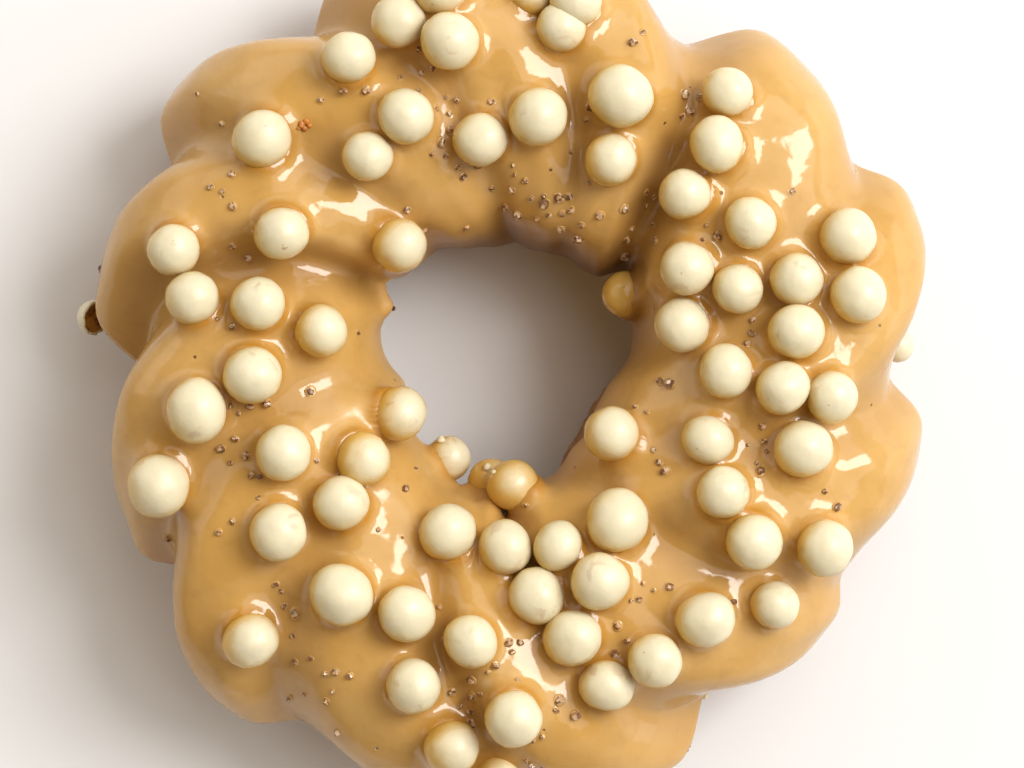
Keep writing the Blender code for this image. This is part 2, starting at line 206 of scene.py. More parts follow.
class Wire:
    """One output of a node. Arithmetic on it adds Math nodes."""

    def __init__(self, graph: "Graph", socket: bpy.types.NodeSocket) -> None:
        """Keep the graph and the socket.

        Args:
            graph: tree that the socket is in.
            socket: output of one of its nodes.
        """
        self.graph = graph
        self.socket = socket

    def math(self, operation: str, first: "Scalar", second: "Scalar") -> "Wire":
        """Add a Math node.

        Args:
            operation: its operation.
            first: its first value.
            second: its second value.

        Returns:
            The result.
        """
        return self.graph.node("ShaderNodeMath", {"operation": operation}, {0: first, 1: second})

    def __add__(self, other: "Scalar") -> "Wire":
        """Sum with a wire or number."""
        return self.math("ADD", self, other)

    def __sub__(self, other: "Scalar") -> "Wire":
        """Difference with a wire or number."""
        return self.math("SUBTRACT", self, other)

    def __rsub__(self, other: "Scalar") -> "Wire":
        """Difference of a number and this wire."""
        return self.math("SUBTRACT", other, self)

    def __mul__(self, other: "Scalar") -> "Wire":
        """Product with a wire or number."""
        return self.math("MULTIPLY", self, other)

    def __rtruediv__(self, other: "Scalar") -> "Wire":
        """Quotient of a number and this wire."""
        return self.math("DIVIDE", other, self)

    __radd__ = __add__
    __rmul__ = __mul__

    def swing(self, size: "Scalar") -> "Wire":
        """Turn noise of 0 to 1 into a swing of this size about 0."""
        return (self - 0.5) * size

    def ramp(self, low: float, high: float) -> "Wire":
        """Ease from 0 to 1.

        Args:
            low: value that gives 0.
            high: value that gives 1.

        Returns:
            The eased share.
        """
        limits = {"Value": self, "From Min": low, "From Max": high}
        return self.graph.node("ShaderNodeMapRange", {"interpolation_type": "SMOOTHSTEP"}, limits)


Scalar = Union[Wire, float]


class Graph:
    """A node tree that is being built."""

    def __init__(self, tree: bpy.types.NodeTree) -> None:
        """Start in a tree.

        Args:
            tree: node tree to add to.
        """
        self.tree = tree

    def node(
        self,
        kind: str,
        settings: dict[str, Any] | None = None,
        inputs: dict[int | str, Any] | None = None,
        output: int | str = 0,
    ) -> Wire | None:
        """Add any node.

        Args:
            kind: its type.
            settings: its properties, set first.
            inputs: a value or a wire for each socket, by name or place.
            output: the socket to return.

        Returns:
            The chosen output, or nothing for a node that has none.
        """
        made = self.tree.nodes.new(kind)
        for name, value in (settings or {}).items():
            setattr(made, name, value)
        for name, value in (inputs or {}).items():
            if isinstance(value, Wire):
                self.tree.links.new(value.socket, made.inputs[name])
            else:
                made.inputs[name].default_value = value
        return Wire(self, made.outputs[output]) if made.outputs else None

    def mix(self, share: Scalar, first: Union[Wire, Colour], second: Union[Wire, Colour]) -> Wire:
        """Blend two colours.

        Args:
            share: 0 gives the first, 1 the second.
            first: a colour.
            second: a colour.

        Returns:
            The blend.
        """
        ends = [end if isinstance(end, Wire) else (*end, 1.0) for end in (first, second)]
        inputs = {0: share, 6: ends[0], 7: ends[1]}
        return self.node("ShaderNodeMix", {"data_type": "RGBA", "clamp_factor": True}, inputs, 2)


class Paint(Graph):
    """The node tree of one material."""

    def __init__(self, name: str) -> None:
        """Start an empty material.

        Args:
            name: its name.
        """
        self.material = bpy.data.materials.new(name)
        self.material.use_nodes = True
        super().__init__(self.material.node_tree)
        self.tree.nodes.clear()
        self.place = self.node("ShaderNodeTexCoord", output="Object")

    def attribute(self, name: str) -> Wire:
        """Read a number that is stored on the mesh."""
        return self.node("ShaderNodeAttribute", {"attribute_name": name}, output="Fac")

    def clouds(self, soft: Clouds) -> Wire:
        """Soft noise.

        Args:
            soft: its size, detail and swirl.

        Returns:
            Noise from 0 to 1.
        """
        inputs = {
            "Vector": self.place,
            "Scale": 1.0 / soft.size,
            "Detail": soft.detail,
            "Distortion": soft.swirl,
        }
        return self.node("ShaderNodeTexNoise", None, inputs, "Fac")

    def cells(self, size: float) -> Wire:
        """Distance from the nearest of many scattered points, which lie about a size apart."""
        inputs = {"Vector": self.place, "Scale": 1.0 / size}
        return self.node("ShaderNodeTexVoronoi", None, inputs, "Distance")

    def bump(self, height: Wire, distance: float, normal: Wire | None = None) -> Wire:
        """Tilt the shading by a height.

        Args:
            height: relief from 0 to 1.
            distance: what a height of 1 stands for.
            normal: shading that it adds to.

        Returns:
            The tilted normal.
        """
        inputs: dict[int | str, Any] = {"Height": height, "Distance": distance}
        if normal is not None:
            inputs["Normal"] = normal
        return self.node("ShaderNodeBump", None, inputs)

    def finish(self, inputs: dict[int | str, Any]) -> bpy.types.Material:
        """End in a Principled shader.

        Args:
            inputs: a value or a wire for each of its sockets.

        Returns:
            The material.
        """
        shader = self.node("ShaderNodeBsdfPrincipled", None, inputs)
        self.node("ShaderNodeOutputMaterial", None, {"Surface": shader})
        return self.material


class Shape(Graph):
    """A Geometry Nodes tree with named inputs, which ends in real faces with one material."""

    def __init__(self, name: str) -> None:
        """Start a tree that takes and gives geometry.

        Args:
            name: its name.
        """
        super().__init__(bpy.data.node_groups.new(name, "GeometryNodeTree"))
        face = self.tree.interface
        face.new_socket("Geometry", in_out="OUTPUT", socket_type="NodeSocketGeometry")
        points = face.new_socket("Points", in_out="INPUT", socket_type="NodeSocketGeometry")
        self.sockets = {"Points": points}
        self.group_input = self.tree.nodes.new("NodeGroupInput")
        self.points = Wire(self, self.group_input.outputs["Points"])

    def size(self, name: str, kind: str = "NodeSocketFloat") -> Wire:
        """Add a named input.

        Args:
            name: its name.
            kind: type of its socket.

        Returns:
            Its value inside the tree.
        """
        self.sockets[name] = self.tree.interface.new_socket(name, in_out="INPUT", socket_type=kind)
        return Wire(self, self.group_input.outputs[name])

    def stored(self, name: str, kind: str = "FLOAT") -> Wire:
        """Read an attribute of the geometry."""
        return self.node("GeometryNodeInputNamedAttribute", {"data_type": kind}, {"Name": name})

    def scaled(self, vector: Wire, factor: Scalar) -> Wire:
        """Scale a vector."""
        inputs = {0: vector, "Scale": factor}
        return self.node("ShaderNodeVectorMath", {"operation": "SCALE"}, inputs)

    def finish(self, geometry: Wire, material: bpy.types.Material, smooth: bool) -> None:
        """End the tree.

        Args:
            geometry: instances to make real.
            material: what they are made of.
            smooth: whether their shading is smooth.
        """
        faces = self.node("GeometryNodeRealizeInstances", None, {0: geometry})
        shading = {"Geometry": faces, "Shade Smooth": smooth}
        shaded = self.node("GeometryNodeSetShadeSmooth", None, shading)
        finish = {"Geometry": shaded, "Material": material}
        dressed = self.node("GeometryNodeSetMaterial", None, finish)
        self.node("NodeGroupOutput", None, {"Geometry": dressed})

    def grow(self, points: bpy.types.Object, values: dict[str, Any]) -> bpy.types.Object:
        """Run the tree on an object and keep the result as its plain mesh.

        Args:
            points: object whose points it starts from.
            values: a value for each named input.

        Returns:
            The same object, with the grown mesh.
        """
        grower = points.modifiers.new("grow", "NODES")
        grower.node_group = self.tree
        for name, value in values.items():
            grower[self.sockets[name].identifier] = value
        evaluated = points.evaluated_get(bpy.context.evaluated_depsgraph_get())
        grown = bpy.data.meshes.new_from_object(evaluated)
        points.modifiers.clear()
        points.data = grown
        grown.name = points.name
        return points


def new_object(name: str, mesh: bpy.types.Mesh) -> bpy.types.Object:
    """Add an object to the scene.

    Args:
        name: its name.
        mesh: its mesh.

    Returns:
        The object.
    """
    made = bpy.data.objects.new(name, mesh)
    bpy.context.scene.collection.objects.link(made)
    return made


def store(mesh: bpy.types.Mesh, name: str, values: Iterable[float]) -> None:
    """Store a number on each point of a mesh.

    Args:
        mesh: the mesh.
        name: name of the attribute.
        values: a number for each point, or three for a vector.
    """
    flat = np.asarray(values, np.float32).ravel()
    vector = len(flat) == 3 * len(mesh.vertices)
    kind, key = ("FLOAT_VECTOR", "vector") if vector else ("FLOAT", "value")
    mesh.attributes.new(name, kind, "POINT").data.foreach_set(key, flat)


def closed_grid(name: str, places: np.ndarray) -> bpy.types.Object:
    """A ring of faces that closes both ways.

    Args:
        name: the object's name.
        places: points as rows round the tube, columns round the ring, and x, y, z.

    Returns:
        The object.
    """
    rows, columns, _ = places.shape
    row, column = np.meshgrid(np.arange(rows), np.arange(columns), indexing="ij")
    above = (row + 1) % rows
    beside = (column + 1) % columns
    low, high = row * columns, above * columns
    corners = [low + column, low + beside, high + beside, high + column]
    faces = np.stack(corners, axis=-1).reshape(-1, 4)
    mesh = bpy.data.meshes.new(name)
    mesh.from_pydata(places.reshape(-1, 3).tolist(), [], faces.tolist())
    mesh.shade_smooth()
    return new_object(name, mesh)


def grid_normals(places: np.ndarray) -> np.ndarray:
    """Unit normals of a grid of points, facing out of the tube.

    Args:
        places: points as rows round the tube and columns round the ring.

    Returns:
        A normal for each point.
    """
    along = np.roll(places, -1, axis=1) - np.roll(places, 1, axis=1)
    up = np.gradient(places, axis=0)
    normals = np.cross(along, up)
    lengths = np.linalg.norm(normals, axis=-1, keepdims=True)
    return normals / np.maximum(lengths, LEAST_LENGTH)


def fractal(places: np.ndarray, size: float, seed: float, octaves: int = 3) -> np.ndarray:
    """Smooth noise of about -1 to 1 at points.

    Args:
        places: points, with x, y, z last.
        size: width of its largest waves.
        seed: picks another pattern.
        octaves: how many finer waves are added.

    Returns:
        Noise at each point.
    """
    shifted = places.reshape(-1, 3) / size + seed
    values = [noise.fractal(point, NOISE_FALL, NOISE_STEP, octaves) for point in shifted.tolist()]
    return np.array(values).reshape(places.shape[:-1])


def over_flutes(name: str, phase: np.ndarray) -> np.ndarray:
    """Ease between the flutes' values at whole phases, closing on itself round the ring.

    Args:
        name: which of their values.
        phase: where to read it.

    Returns:
        The eased values.
    """
    table = np.array([getattr(flute, name) for flute in FLUTES])
    index = np.floor(phase).astype(int)
    share = phase - index
    share = share * share * (3.0 - 2.0 * share)
    before = table[index % len(table)]
    return before + (table[(index + 1) % len(table)] - before) * share


def waves(
    bearing: np.ndarray,
    roll: Union[np.ndarray, float],
    seed: int,
    count: int,
    most_over: int,
) -> np.ndarray:
    """Sum of sine waves that close on themselves both ways, of size about 1.

    Args:
        bearing: angle round the ring.
        roll: angle round the tube.
        seed: seed of the draw.
        count: number of waves.
        most_over: most turns of a wave over the tube.

    Returns:
        The sum at each point.
    """
    draw = random.Random(seed)
    total = np.zeros(np.broadcast(bearing, roll).shape)
    for _ in range(count):
        around = draw.randint(*WAVE_TURNS)
        over = draw.randint(0, most_over)
        start = draw.uniform(0.0, math.tau)
        total = total + np.sin(around * bearing + over * roll + start)
    return total / math.sqrt(count)


@dataclass(frozen=True)
class Skin:
    """The fluted form that dough and icing share, measured over the icing."""

    waist_height: float = 11.0 * MM
    crown_rise: float = 14.3 * MM
    belly_drop: float = 14.8 * MM
    section_power: float = 2.5
    groove_roll: float = math.radians(10.0)
    under_start: float = math.radians(215.0)
    under_end: float = math.radians(330.0)
    groove_power: float = 4.0
    lump_seed: int = 12
    lump_waves: int = 9
    lump_turns: int = 3
    lump_size: float = 0.25 * MM

    def groove_bearing(self, index: np.ndarray, roll: np.ndarray) -> np.ndarray:
        """Bearing of grooves, on a smooth curve from outer edge over the crown to the hole.

        Args:
            index: which groove.
            roll: where round the tube.

        Returns:
            Bearings in degrees.
        """
        turns = 360.0 * (index // len(FLUTES))
        table = np.asarray(FLUTES)[index % len(FLUTES)]
        outer, crown, hole = table[..., 0], table[..., 1], table[..., 2]
        back = (roll - self.under_start) / (self.under_end - self.under_start)
        way = math.pi - self.groove_roll
        share = (np.clip(roll, self.groove_roll, math.pi) - self.groove_roll) / way
        crown_share = (math.pi / 2.0 - self.groove_roll) / way
        whole = hole - outer
        bend = (crown - outer - whole * crown_share) / (crown_share * (crown_share - 1.0))
        over = outer + whole * share + bend * share * (share - 1.0)
        return turns + np.where(roll > self.under_start, hole + (outer - hole) * back, over)

    def bearing(self, phase: np.ndarray, roll: np.ndarray) -> np.ndarray:
        """Bearing of a line that runs along the flutes.

        Args:
            phase: place among the flutes.
            roll: place round the tube.

        Returns:
            Bearings in radians.
        """
        index = np.floor(phase).astype(int)
        before = self.groove_bearing(index, roll)
        after = self.groove_bearing(index + 1, roll)
        return np.radians(before + (after - before) * (phase - index))

    def leaned(self, phase: np.ndarray, roll: np.ndarray) -> np.ndarray:
        """Phase of the flutes' profile, held back so that a leaning lobe bulges late.

        Args:
            phase: place among the flutes.
            roll: place round the tube.

        Returns:
            The phase at which the profile is read.
        """
        index = np.floor(phase).astype(int)
        share = phase - index
        lean = np.asarray([flute.lean for flute in FLUTES])[index % len(FLUTES)]
        return phase - lean * np.clip(np.cos(roll), 0.0, None) ** 2 * share * (1.0 - share)

    def groove(self, phase: np.ndarray, roll: np.ndarray) -> np.ndarray:
        """Depth of the grooves at points of the skin.

        Args:
            phase: place among the flutes.
            roll: place round the tube.

        Returns:
            Depths in metres.
        """
        profile = self.leaned(phase, roll)
        side = np.cos(roll) ** 2
        crown = np.where(np.sin(roll) > 0.0, np.sin(roll) ** 2, 0.0)
        outer = over_flutes("outer_depth", profile)
        hole = over_flutes("hole_depth", profile)
        over = over_flutes("crown_depth", profile)
        depth = side * np.where(np.cos(roll) > 0.0, outer, hole) + crown * over
        return depth * MM * np.abs(np.cos(np.pi * profile)) ** self.groove_power

    def points(
        self,
        phase: np.ndarray,
        roll: np.ndarray,
        inset: Union[np.ndarray, float] = 0.0,
        groove_scale: Union[np.ndarray, float] = 1.0,
    ) -> np.ndarray:
        """Points of the skin.

        Args:
            phase: place among the flutes.
            roll: place round the tube.
            inset: distance inward from the icing's outer face.
            groove_scale: scale on the grooves' depth.

        Returns:
            Points, with x, y, z last.
        """
        bearing = self.bearing(phase, roll)
        profile = self.leaned(phase, roll)
        outer = over_flutes("outer_reach", profile - 0.5) * MM
        hole = over_flutes("hole_reach", profile - 0.5) * MM
        rise = np.where(np.sin(roll) > 0.0, self.crown_rise, self.belly_drop)
        wide = np.abs(np.cos(roll) / ((outer - hole) / 2.0)) ** self.section_power
        high = np.abs(np.sin(roll) / rise) ** self.section_power
        arm = (wide + high) ** (-1.0 / self.section_power)
        arm = arm - self.groove(phase, roll) * groove_scale - inset
        lumps = waves(bearing, roll, self.lump_seed, self.lump_waves, self.lump_turns)
        arm = arm + self.lump_size * lumps
        reach = (outer + hole) / 2.0 + arm * np.cos(roll)
        height = self.waist_height + arm * np.sin(roll)
        return np.stack([reach * np.cos(bearing), reach * np.sin(bearing), height], axis=-1)


@dataclass(frozen=True)
class BareStretch:
    """Where the icing stops short at one side of the hole and the crust shows."""

    bearing: float = math.radians(327.0)
    span: float = math.radians(38.0)
    power: float = 4.0
    retreat: float = math.radians(12.0)
    swell: float = 3.1 * MM
    swell_roll: float = math.radians(198.0)
    swell_span: float = math.radians(13.0)

    def share(self, skin: Skin, phase: np.ndarray) -> np.ndarray:
        """How much of the stretch a place has.

        Args:
            skin: the form that dough and icing share.
            phase: place among the flutes.

        Returns:
            1 in the middle of the stretch, falling to 0 beside it.
        """
        at_hole = skin.bearing(phase, np.full_like(phase, math.pi))
        away = (at_hole - self.bearing + math.pi) % math.tau - math.pi
        return np.exp(-(np.abs(away / self.span) ** self.power))

    def bulge(self, skin: Skin, phase: np.ndarray, roll: np.ndarray) -> np.ndarray:
        """How far the crust swells into the hole."""
        down = (roll - self.swell_roll) / self.swell_span
        return self.swell * self.share(skin, phase) * np.exp(-(down**2))


@dataclass(frozen=True)
class CrustFinish:
    """Browned fried crust."""

    pale: Colour = (0.47, 0.25, 0.085)
    brown: Colour = (0.24, 0.085, 0.022)
    dark: Colour = (0.085, 0.026, 0.009)
    patch: Clouds = Clouds(7.0 * MM, 5.0, 0.6)
    patch_edge: Span = (0.2, 0.78)
    blister: float = 1.1 * MM
    blister_edge: Span = (0.5, 1.0)
    blister_share: float = 0.45
    blister_height: float = 0.12 * MM
    grain: Clouds = Clouds(0.35 * MM, 4.0)
    grain_edge: Span = (0.5, 0.8)
    grain_share: float = 0.35
    grain_height: float = 0.08 * MM
    roughness: float = 0.42
    patch_roughness: float = 0.3

    def make(self) -> bpy.types.Material:
        """Build the material.

        Returns:
            Crust with darker blisters and grain.
        """
        paint = Paint("browned_crust")
        patches = paint.clouds(self.patch)
        blisters = paint.cells(self.blister)
        grain = paint.clouds(self.grain)
        colour = paint.mix(patches.ramp(*self.patch_edge), self.pale, self.brown)
        burnt = (1.0 - blisters).ramp(*self.blister_edge) * self.blister_share
        burnt = burnt + grain.ramp(*self.grain_edge) * self.grain_share
        colour = paint.mix(burnt, colour, self.dark)
        normal = paint.bump(blisters, self.blister_height)
        normal = paint.bump(grain, self.grain_height, normal)
        return paint.finish({
            "Base Color": colour,
            "Roughness": self.roughness + patches * self.patch_roughness,
            "Normal": normal,
        })


@dataclass(frozen=True)
class IcingFinish:
    """Set caramel icing, smooth and glossy.

    It is more amber where it gathers against pearls, as thicker icing and partly as painted contact
    shade; painted shade darkens the grooves and the far wall of the hole, which lies in shadow.
    Random mottles of the same darker tone are the icing's own.
    """

    name: str = "caramel_icing_gloss"
    caramel: Colour = (0.52, 0.294, 0.078)
    pale: Colour = (0.54, 0.32, 0.10)
    amber: Colour = (0.43, 0.195, 0.022)
    deep_tone_and_shade: Colour = (0.20, 0.085, 0.016)
    far_wall_shade_brown: Colour = (0.13, 0.052, 0.014)
    pit: Colour = (0.12, 0.045, 0.015)
    patch: Clouds = Clouds(9.0 * MM, 2.0, 0.4)
    patch_edge: Span = (0.35, 0.65)
    mottle: Clouds = Clouds(2.4 * MM, 4.0, 0.8)
    mottle_edge: Span = (0.45, 0.9)
    mottle_share: float = 0.22
    gathered_edge: Span = (0.1, 1.0)
    gathered_amber_and_shade_share: float = 0.9
    groove_shade_share: float = 0.6
    far_wall_shade_share: float = 0.55
    far_wall_shade_patches: float = 0.5
    pinhole: float = 4.2 * MM
    pinhole_edge: Span = (0.02, 0.055)
    pinhole_share: float = 0.8
    pinhole_depth: float = 0.15 * MM
    wave: Clouds = Clouds(2.6 * MM, 1.0)
    wave_height: float = 0.09 * MM
    ripple: Clouds = Clouds(0.9 * MM, 1.0)
    ripple_height: float = 0.02 * MM
    roughness: float = 0.07
    patch_roughness: float = 0.05
    inner_roughness: float = 0.35
    ior: float = 1.52

    def make(self) -> bpy.types.Material:
        """Build the material.

        Returns:
            Glossy icing with small pinholes, duller inside the hole.
        """
        paint = Paint(self.name)
        patches = paint.clouds(self.patch)
        colour = paint.mix(patches.ramp(*self.patch_edge), self.caramel, self.pale)
        mottle = paint.clouds(self.mottle).ramp(*self.mottle_edge) * self.mottle_share
        colour = paint.mix(mottle, colour, self.deep_tone_and_shade)
        # Amber where icing gathers round pearls: thicker icing, and partly painted contact shade.
        gathered = paint.attribute("gathered").ramp(*self.gathered_edge) * self.gathered_amber_and_shade_share
        colour = paint.mix(gathered, colour, self.amber)
        # Painted shade in the grooves, strongest towards the hole.
        colour = paint.mix(paint.attribute("painted_groove_shade") * self.groove_shade_share, colour, self.deep_tone_and_shade)
        # Painted shade on the far wall of the hole, varied by the patches.
        far_wall_shade = paint.attribute("far_wall_shade") * (self.far_wall_shade_share + patches * self.far_wall_shade_patches)
        colour = paint.mix(far_wall_shade, colour, self.far_wall_shade_brown)
        inner = paint.attribute("inner") * self.inner_roughness
        holes = 1.0 - paint.cells(self.pinhole).ramp(*self.pinhole_edge)
        colour = paint.mix(holes * self.pinhole_share, colour, self.pit)
        normal = paint.bump(paint.clouds(self.wave), self.wave_height)
        normal = paint.bump(paint.clouds(self.ripple), self.ripple_height, normal)
        normal = paint.bump(1.0 - holes, self.pinhole_depth, normal)
        return paint.finish({
            "Base Color": colour,
            "Roughness": self.roughness + patches * self.patch_roughness + inner,
            "IOR": self.ior,
            "Normal": normal,
        })


@dataclass(frozen=True)
class PearlFinish:
    """Crisp white pearls with painted light and shade: satin ivory on the side toward the light,
    cream on the side away; amber where icing wets them, set higher on the side away from the light
    as painted shade; with small scuffs.
    """

    ivory: Colour = (0.67, 0.605, 0.42)
    shade_side_cream: Colour = (0.60, 0.455, 0.17)
    amber: Colour = (0.60, 0.35, 0.05)
    scuff: Colour = (0.36, 0.16, 0.04)
    mottle: Clouds = Clouds(2.2 * MM, 3.0)
    shade_swing: float = 0.5
    shade_edge: Span = (-0.25, 0.8)
    line_light_facing: float = 0.75
    line_height: float = 0.25
    line_swing: float = 0.45
    line_coat: float = 1.5
    wet_edge: Span = (-0.45, 0.35)
    wet_and_shade_share: float = 0.9
    scuffed: Clouds = Clouds(8.0 * MM, 1.0)
    scuffed_edge: Span = (0.5, 0.62)
    scuff_marks: Clouds = Clouds(2.4 * MM, 4.0, 0.5)
    scuff_edge: Span = (0.58, 0.68)
    scuff_share: float = 0.3
    speck: Clouds = Clouds(0.9 * MM, 3.0)
    speck_edge: Span = (0.74, 0.78)
    speck_share: float = 0.6
    grain: Clouds = Clouds(0.5 * MM, 3.0)
    grain_height: float = 0.03 * MM
    roughness: float = 0.36
    wet_gloss: float = 0.26
    glow: float = 0.15
    glow_radius: Colour = (1.0, 0.7, 0.35)
    glow_depth: float = 0.9 * MM

    def make(self) -> bpy.types.Material:
        """Build the material.

        Returns:
            A pearl's coat, wet with icing below a wandering line.
        """
        paint = Paint("crisp_pearl_coat")
        height = paint.attribute("height")
        light_facing = paint.attribute("light_facing")
        coat = paint.attribute("tone")
        mottle = paint.clouds(self.mottle)
        # Painted light and shade: ivory on the side facing the light, cream on the side away from
        # it.
        shade = (light_facing + mottle.swing(self.shade_swing)).ramp(*self.shade_edge)
        colour = paint.mix(shade, self.shade_side_cream, self.ivory)
        # The wet line is real icing, but it sits lower on the side facing the light, so its amber
        # is partly painted shade.
        line = light_facing * self.line_light_facing + height * self.line_height
        line = line + mottle.swing(self.line_swing) - coat * self.line_coat
        wet = 1.0 - line.ramp(*self.wet_edge)
        colour = paint.mix(wet * self.wet_and_shade_share, colour, self.amber)
        scuffed = paint.clouds(self.scuffed).ramp(*self.scuffed_edge)
        scuffs = paint.clouds(self.scuff_marks).ramp(*self.scuff_edge)
        colour = paint.mix(scuffed * scuffs * self.scuff_share, colour, self.scuff)
        specks = paint.clouds(self.speck).ramp(*self.speck_edge)
        colour = paint.mix(specks * self.speck_share, colour, self.scuff)
        return paint.finish({
            "Base Color": colour,
            "Roughness": self.roughness - wet * self.wet_gloss,
            "Subsurface Weight": self.glow,
            "Subsurface Radius": self.glow_radius,
            "Subsurface Scale": self.glow_depth,
            "Normal": paint.bump(paint.clouds(self.grain), self.grain_height),
        })


@dataclass(frozen=True)
class GrainFinish:
    """Clear sugar, pale or cloudy, with some facets painted brown as a painted reflection of the
    icing under them.
    """

    clear: Colour = (0.80, 0.58, 0.36)
    cloudy: Colour = (0.58, 0.33, 0.14)
    brown: Colour = (0.20, 0.085, 0.03)
    cloud: Clouds = Clouds(0.4 * MM, 2.0)
    cloud_edge: Span = (0.4, 0.65)
    cloud_height: float = 0.05 * MM
    facet_swing: float = 0.4
    facet_edge: Span = (0.45, 0.6)
    facet_share: float = 0.9
    roughness: float = 0.1
    cloud_roughness: float = 0.15
    ior: float = 1.5
    clearness: float = 0.3

    def make(self) -> bpy.types.Material:
        """Build the material.

        Returns:
            Sugar, facet by facet.
        """
        paint = Paint("clear_sugar")
        cloud = paint.clouds(self.cloud)
        facet = paint.attribute("facet")
        colour = paint.mix(cloud.ramp(*self.cloud_edge), self.clear, self.cloudy)
        # Painted reflection: random facets painted brown for the icing seen in them.
        painted_reflection = (facet + cloud.swing(self.facet_swing)).ramp(*self.facet_edge)
        colour = paint.mix(painted_reflection * self.facet_share, colour, self.brown)
        return paint.finish({
            "Base Color": colour,
            "Roughness": self.roughness + cloud * self.cloud_roughness,
            "IOR": self.ior,
            "Transmission Weight": self.clearness,
            "Normal": paint.bump(cloud, self.cloud_height),
        })


@dataclass(frozen=True)
class CrumbFinish:
    """Crumbs from dark crust over orange crumb to pale sugar."""

    dark: Colour = (0.075, 0.025, 0.01)
    orange: Colour = (0.56, 0.20, 0.03)
    pale: Colour = (0.74, 0.66, 0.44)
    speck: Clouds = Clouds(0.3 * MM, 3.0)
    speck_swing: float = 0.5
    speck_height: float = 0.1 * MM
    crust_edge: Span = (0.1, 0.5)
    sugar_edge: Span = (0.5, 0.85)
    roughness: float = 0.3
    speck_roughness: float = 0.3

    def make(self) -> bpy.types.Material:
        """Build the material.

        Returns:
            A crumb's finish, set by the tone that is stored on it.
        """
        paint = Paint("crumb_mix")
        tone = paint.attribute("tone")
        speck = paint.clouds(self.speck)
        crumb = (tone + speck.swing(self.speck_swing)).ramp(*self.crust_edge)
        colour = paint.mix(crumb, self.dark, self.orange)
        colour = paint.mix(tone.ramp(*self.sugar_edge), colour, self.pale)
        return paint.finish({
            "Base Color": colour,
            "Roughness": self.roughness + speck * self.speck_roughness,
            "Normal": paint.bump(speck, self.speck_height),
        })


@dataclass(frozen=True)
class FloorFinish:
    """Plain pale board."""

    tone: Colour = (0.76, 0.76, 0.765)
    darker: float = 0.98
    mottle: Clouds = Clouds(60.0 * MM, 2.0)
    roughness: float = 0.6

    def make(self) -> bpy.types.Material:
        """Build the material.

        Returns:
            A board that is faintly uneven in tone.
        """
        paint = Paint("pale_board")
        tint = tuple(self.darker * part for part in self.tone)
        colour = paint.mix(paint.clouds(self.mottle), self.tone, tint)
        return paint.finish({"Base Color": colour, "Roughness": self.roughness})


class Seat(NamedTuple):
    """Where a small thing sits. Its tone is how far icing coats a pearl, or how pale a crumb is."""

    centre: Vector
    up: Vector
    radius: float
    tone: float


@dataclass
class DoughRing:
    """The fried ring under the icing."""

    skin: Skin
    bare: BareStretch
    inset: float = 2.0 * MM
    groove_scale: float = 1.35
    columns: int = 480
    rows: int = 150
    blister: float = 0.22 * MM
    blister_size: float = 5.0 * MM
    blister_seed: float = 3.7
    wrinkle: float = 0.16 * MM
    wrinkle_size: float = 1.6 * MM
    wrinkle_seed: float = 9.1

    def build(self) -> bpy.types.Object:
        """Make the crust.

        Returns:
            The finished piece.
        """
        start = self.skin.under_end - math.tau
        rolls = start + np.arange(self.rows) * math.tau / self.rows
        phases = np.arange(self.columns) * len(FLUTES) / self.columns
        phase, roll = np.meshgrid(phases, rolls)
        inset = self.inset - self.bare.bulge(self.skin, phase, roll)
        places = self.skin.points(phase, roll, inset, self.groove_scale)
        normals = grid_normals(places)
        blisters = self.blister * fractal(places, self.blister_size, self.blister_seed)
        wrinkles = self.wrinkle * fractal(places, self.wrinkle_size, self.wrinkle_seed)
        places = places + normals * (blisters + wrinkles)[..., None]
        places[..., 2] = np.maximum(places[..., 2], 0.0)
        dough = closed_grid("fried_dough", places)
        dough.data.materials.append(CrustFinish().make())
        return dough


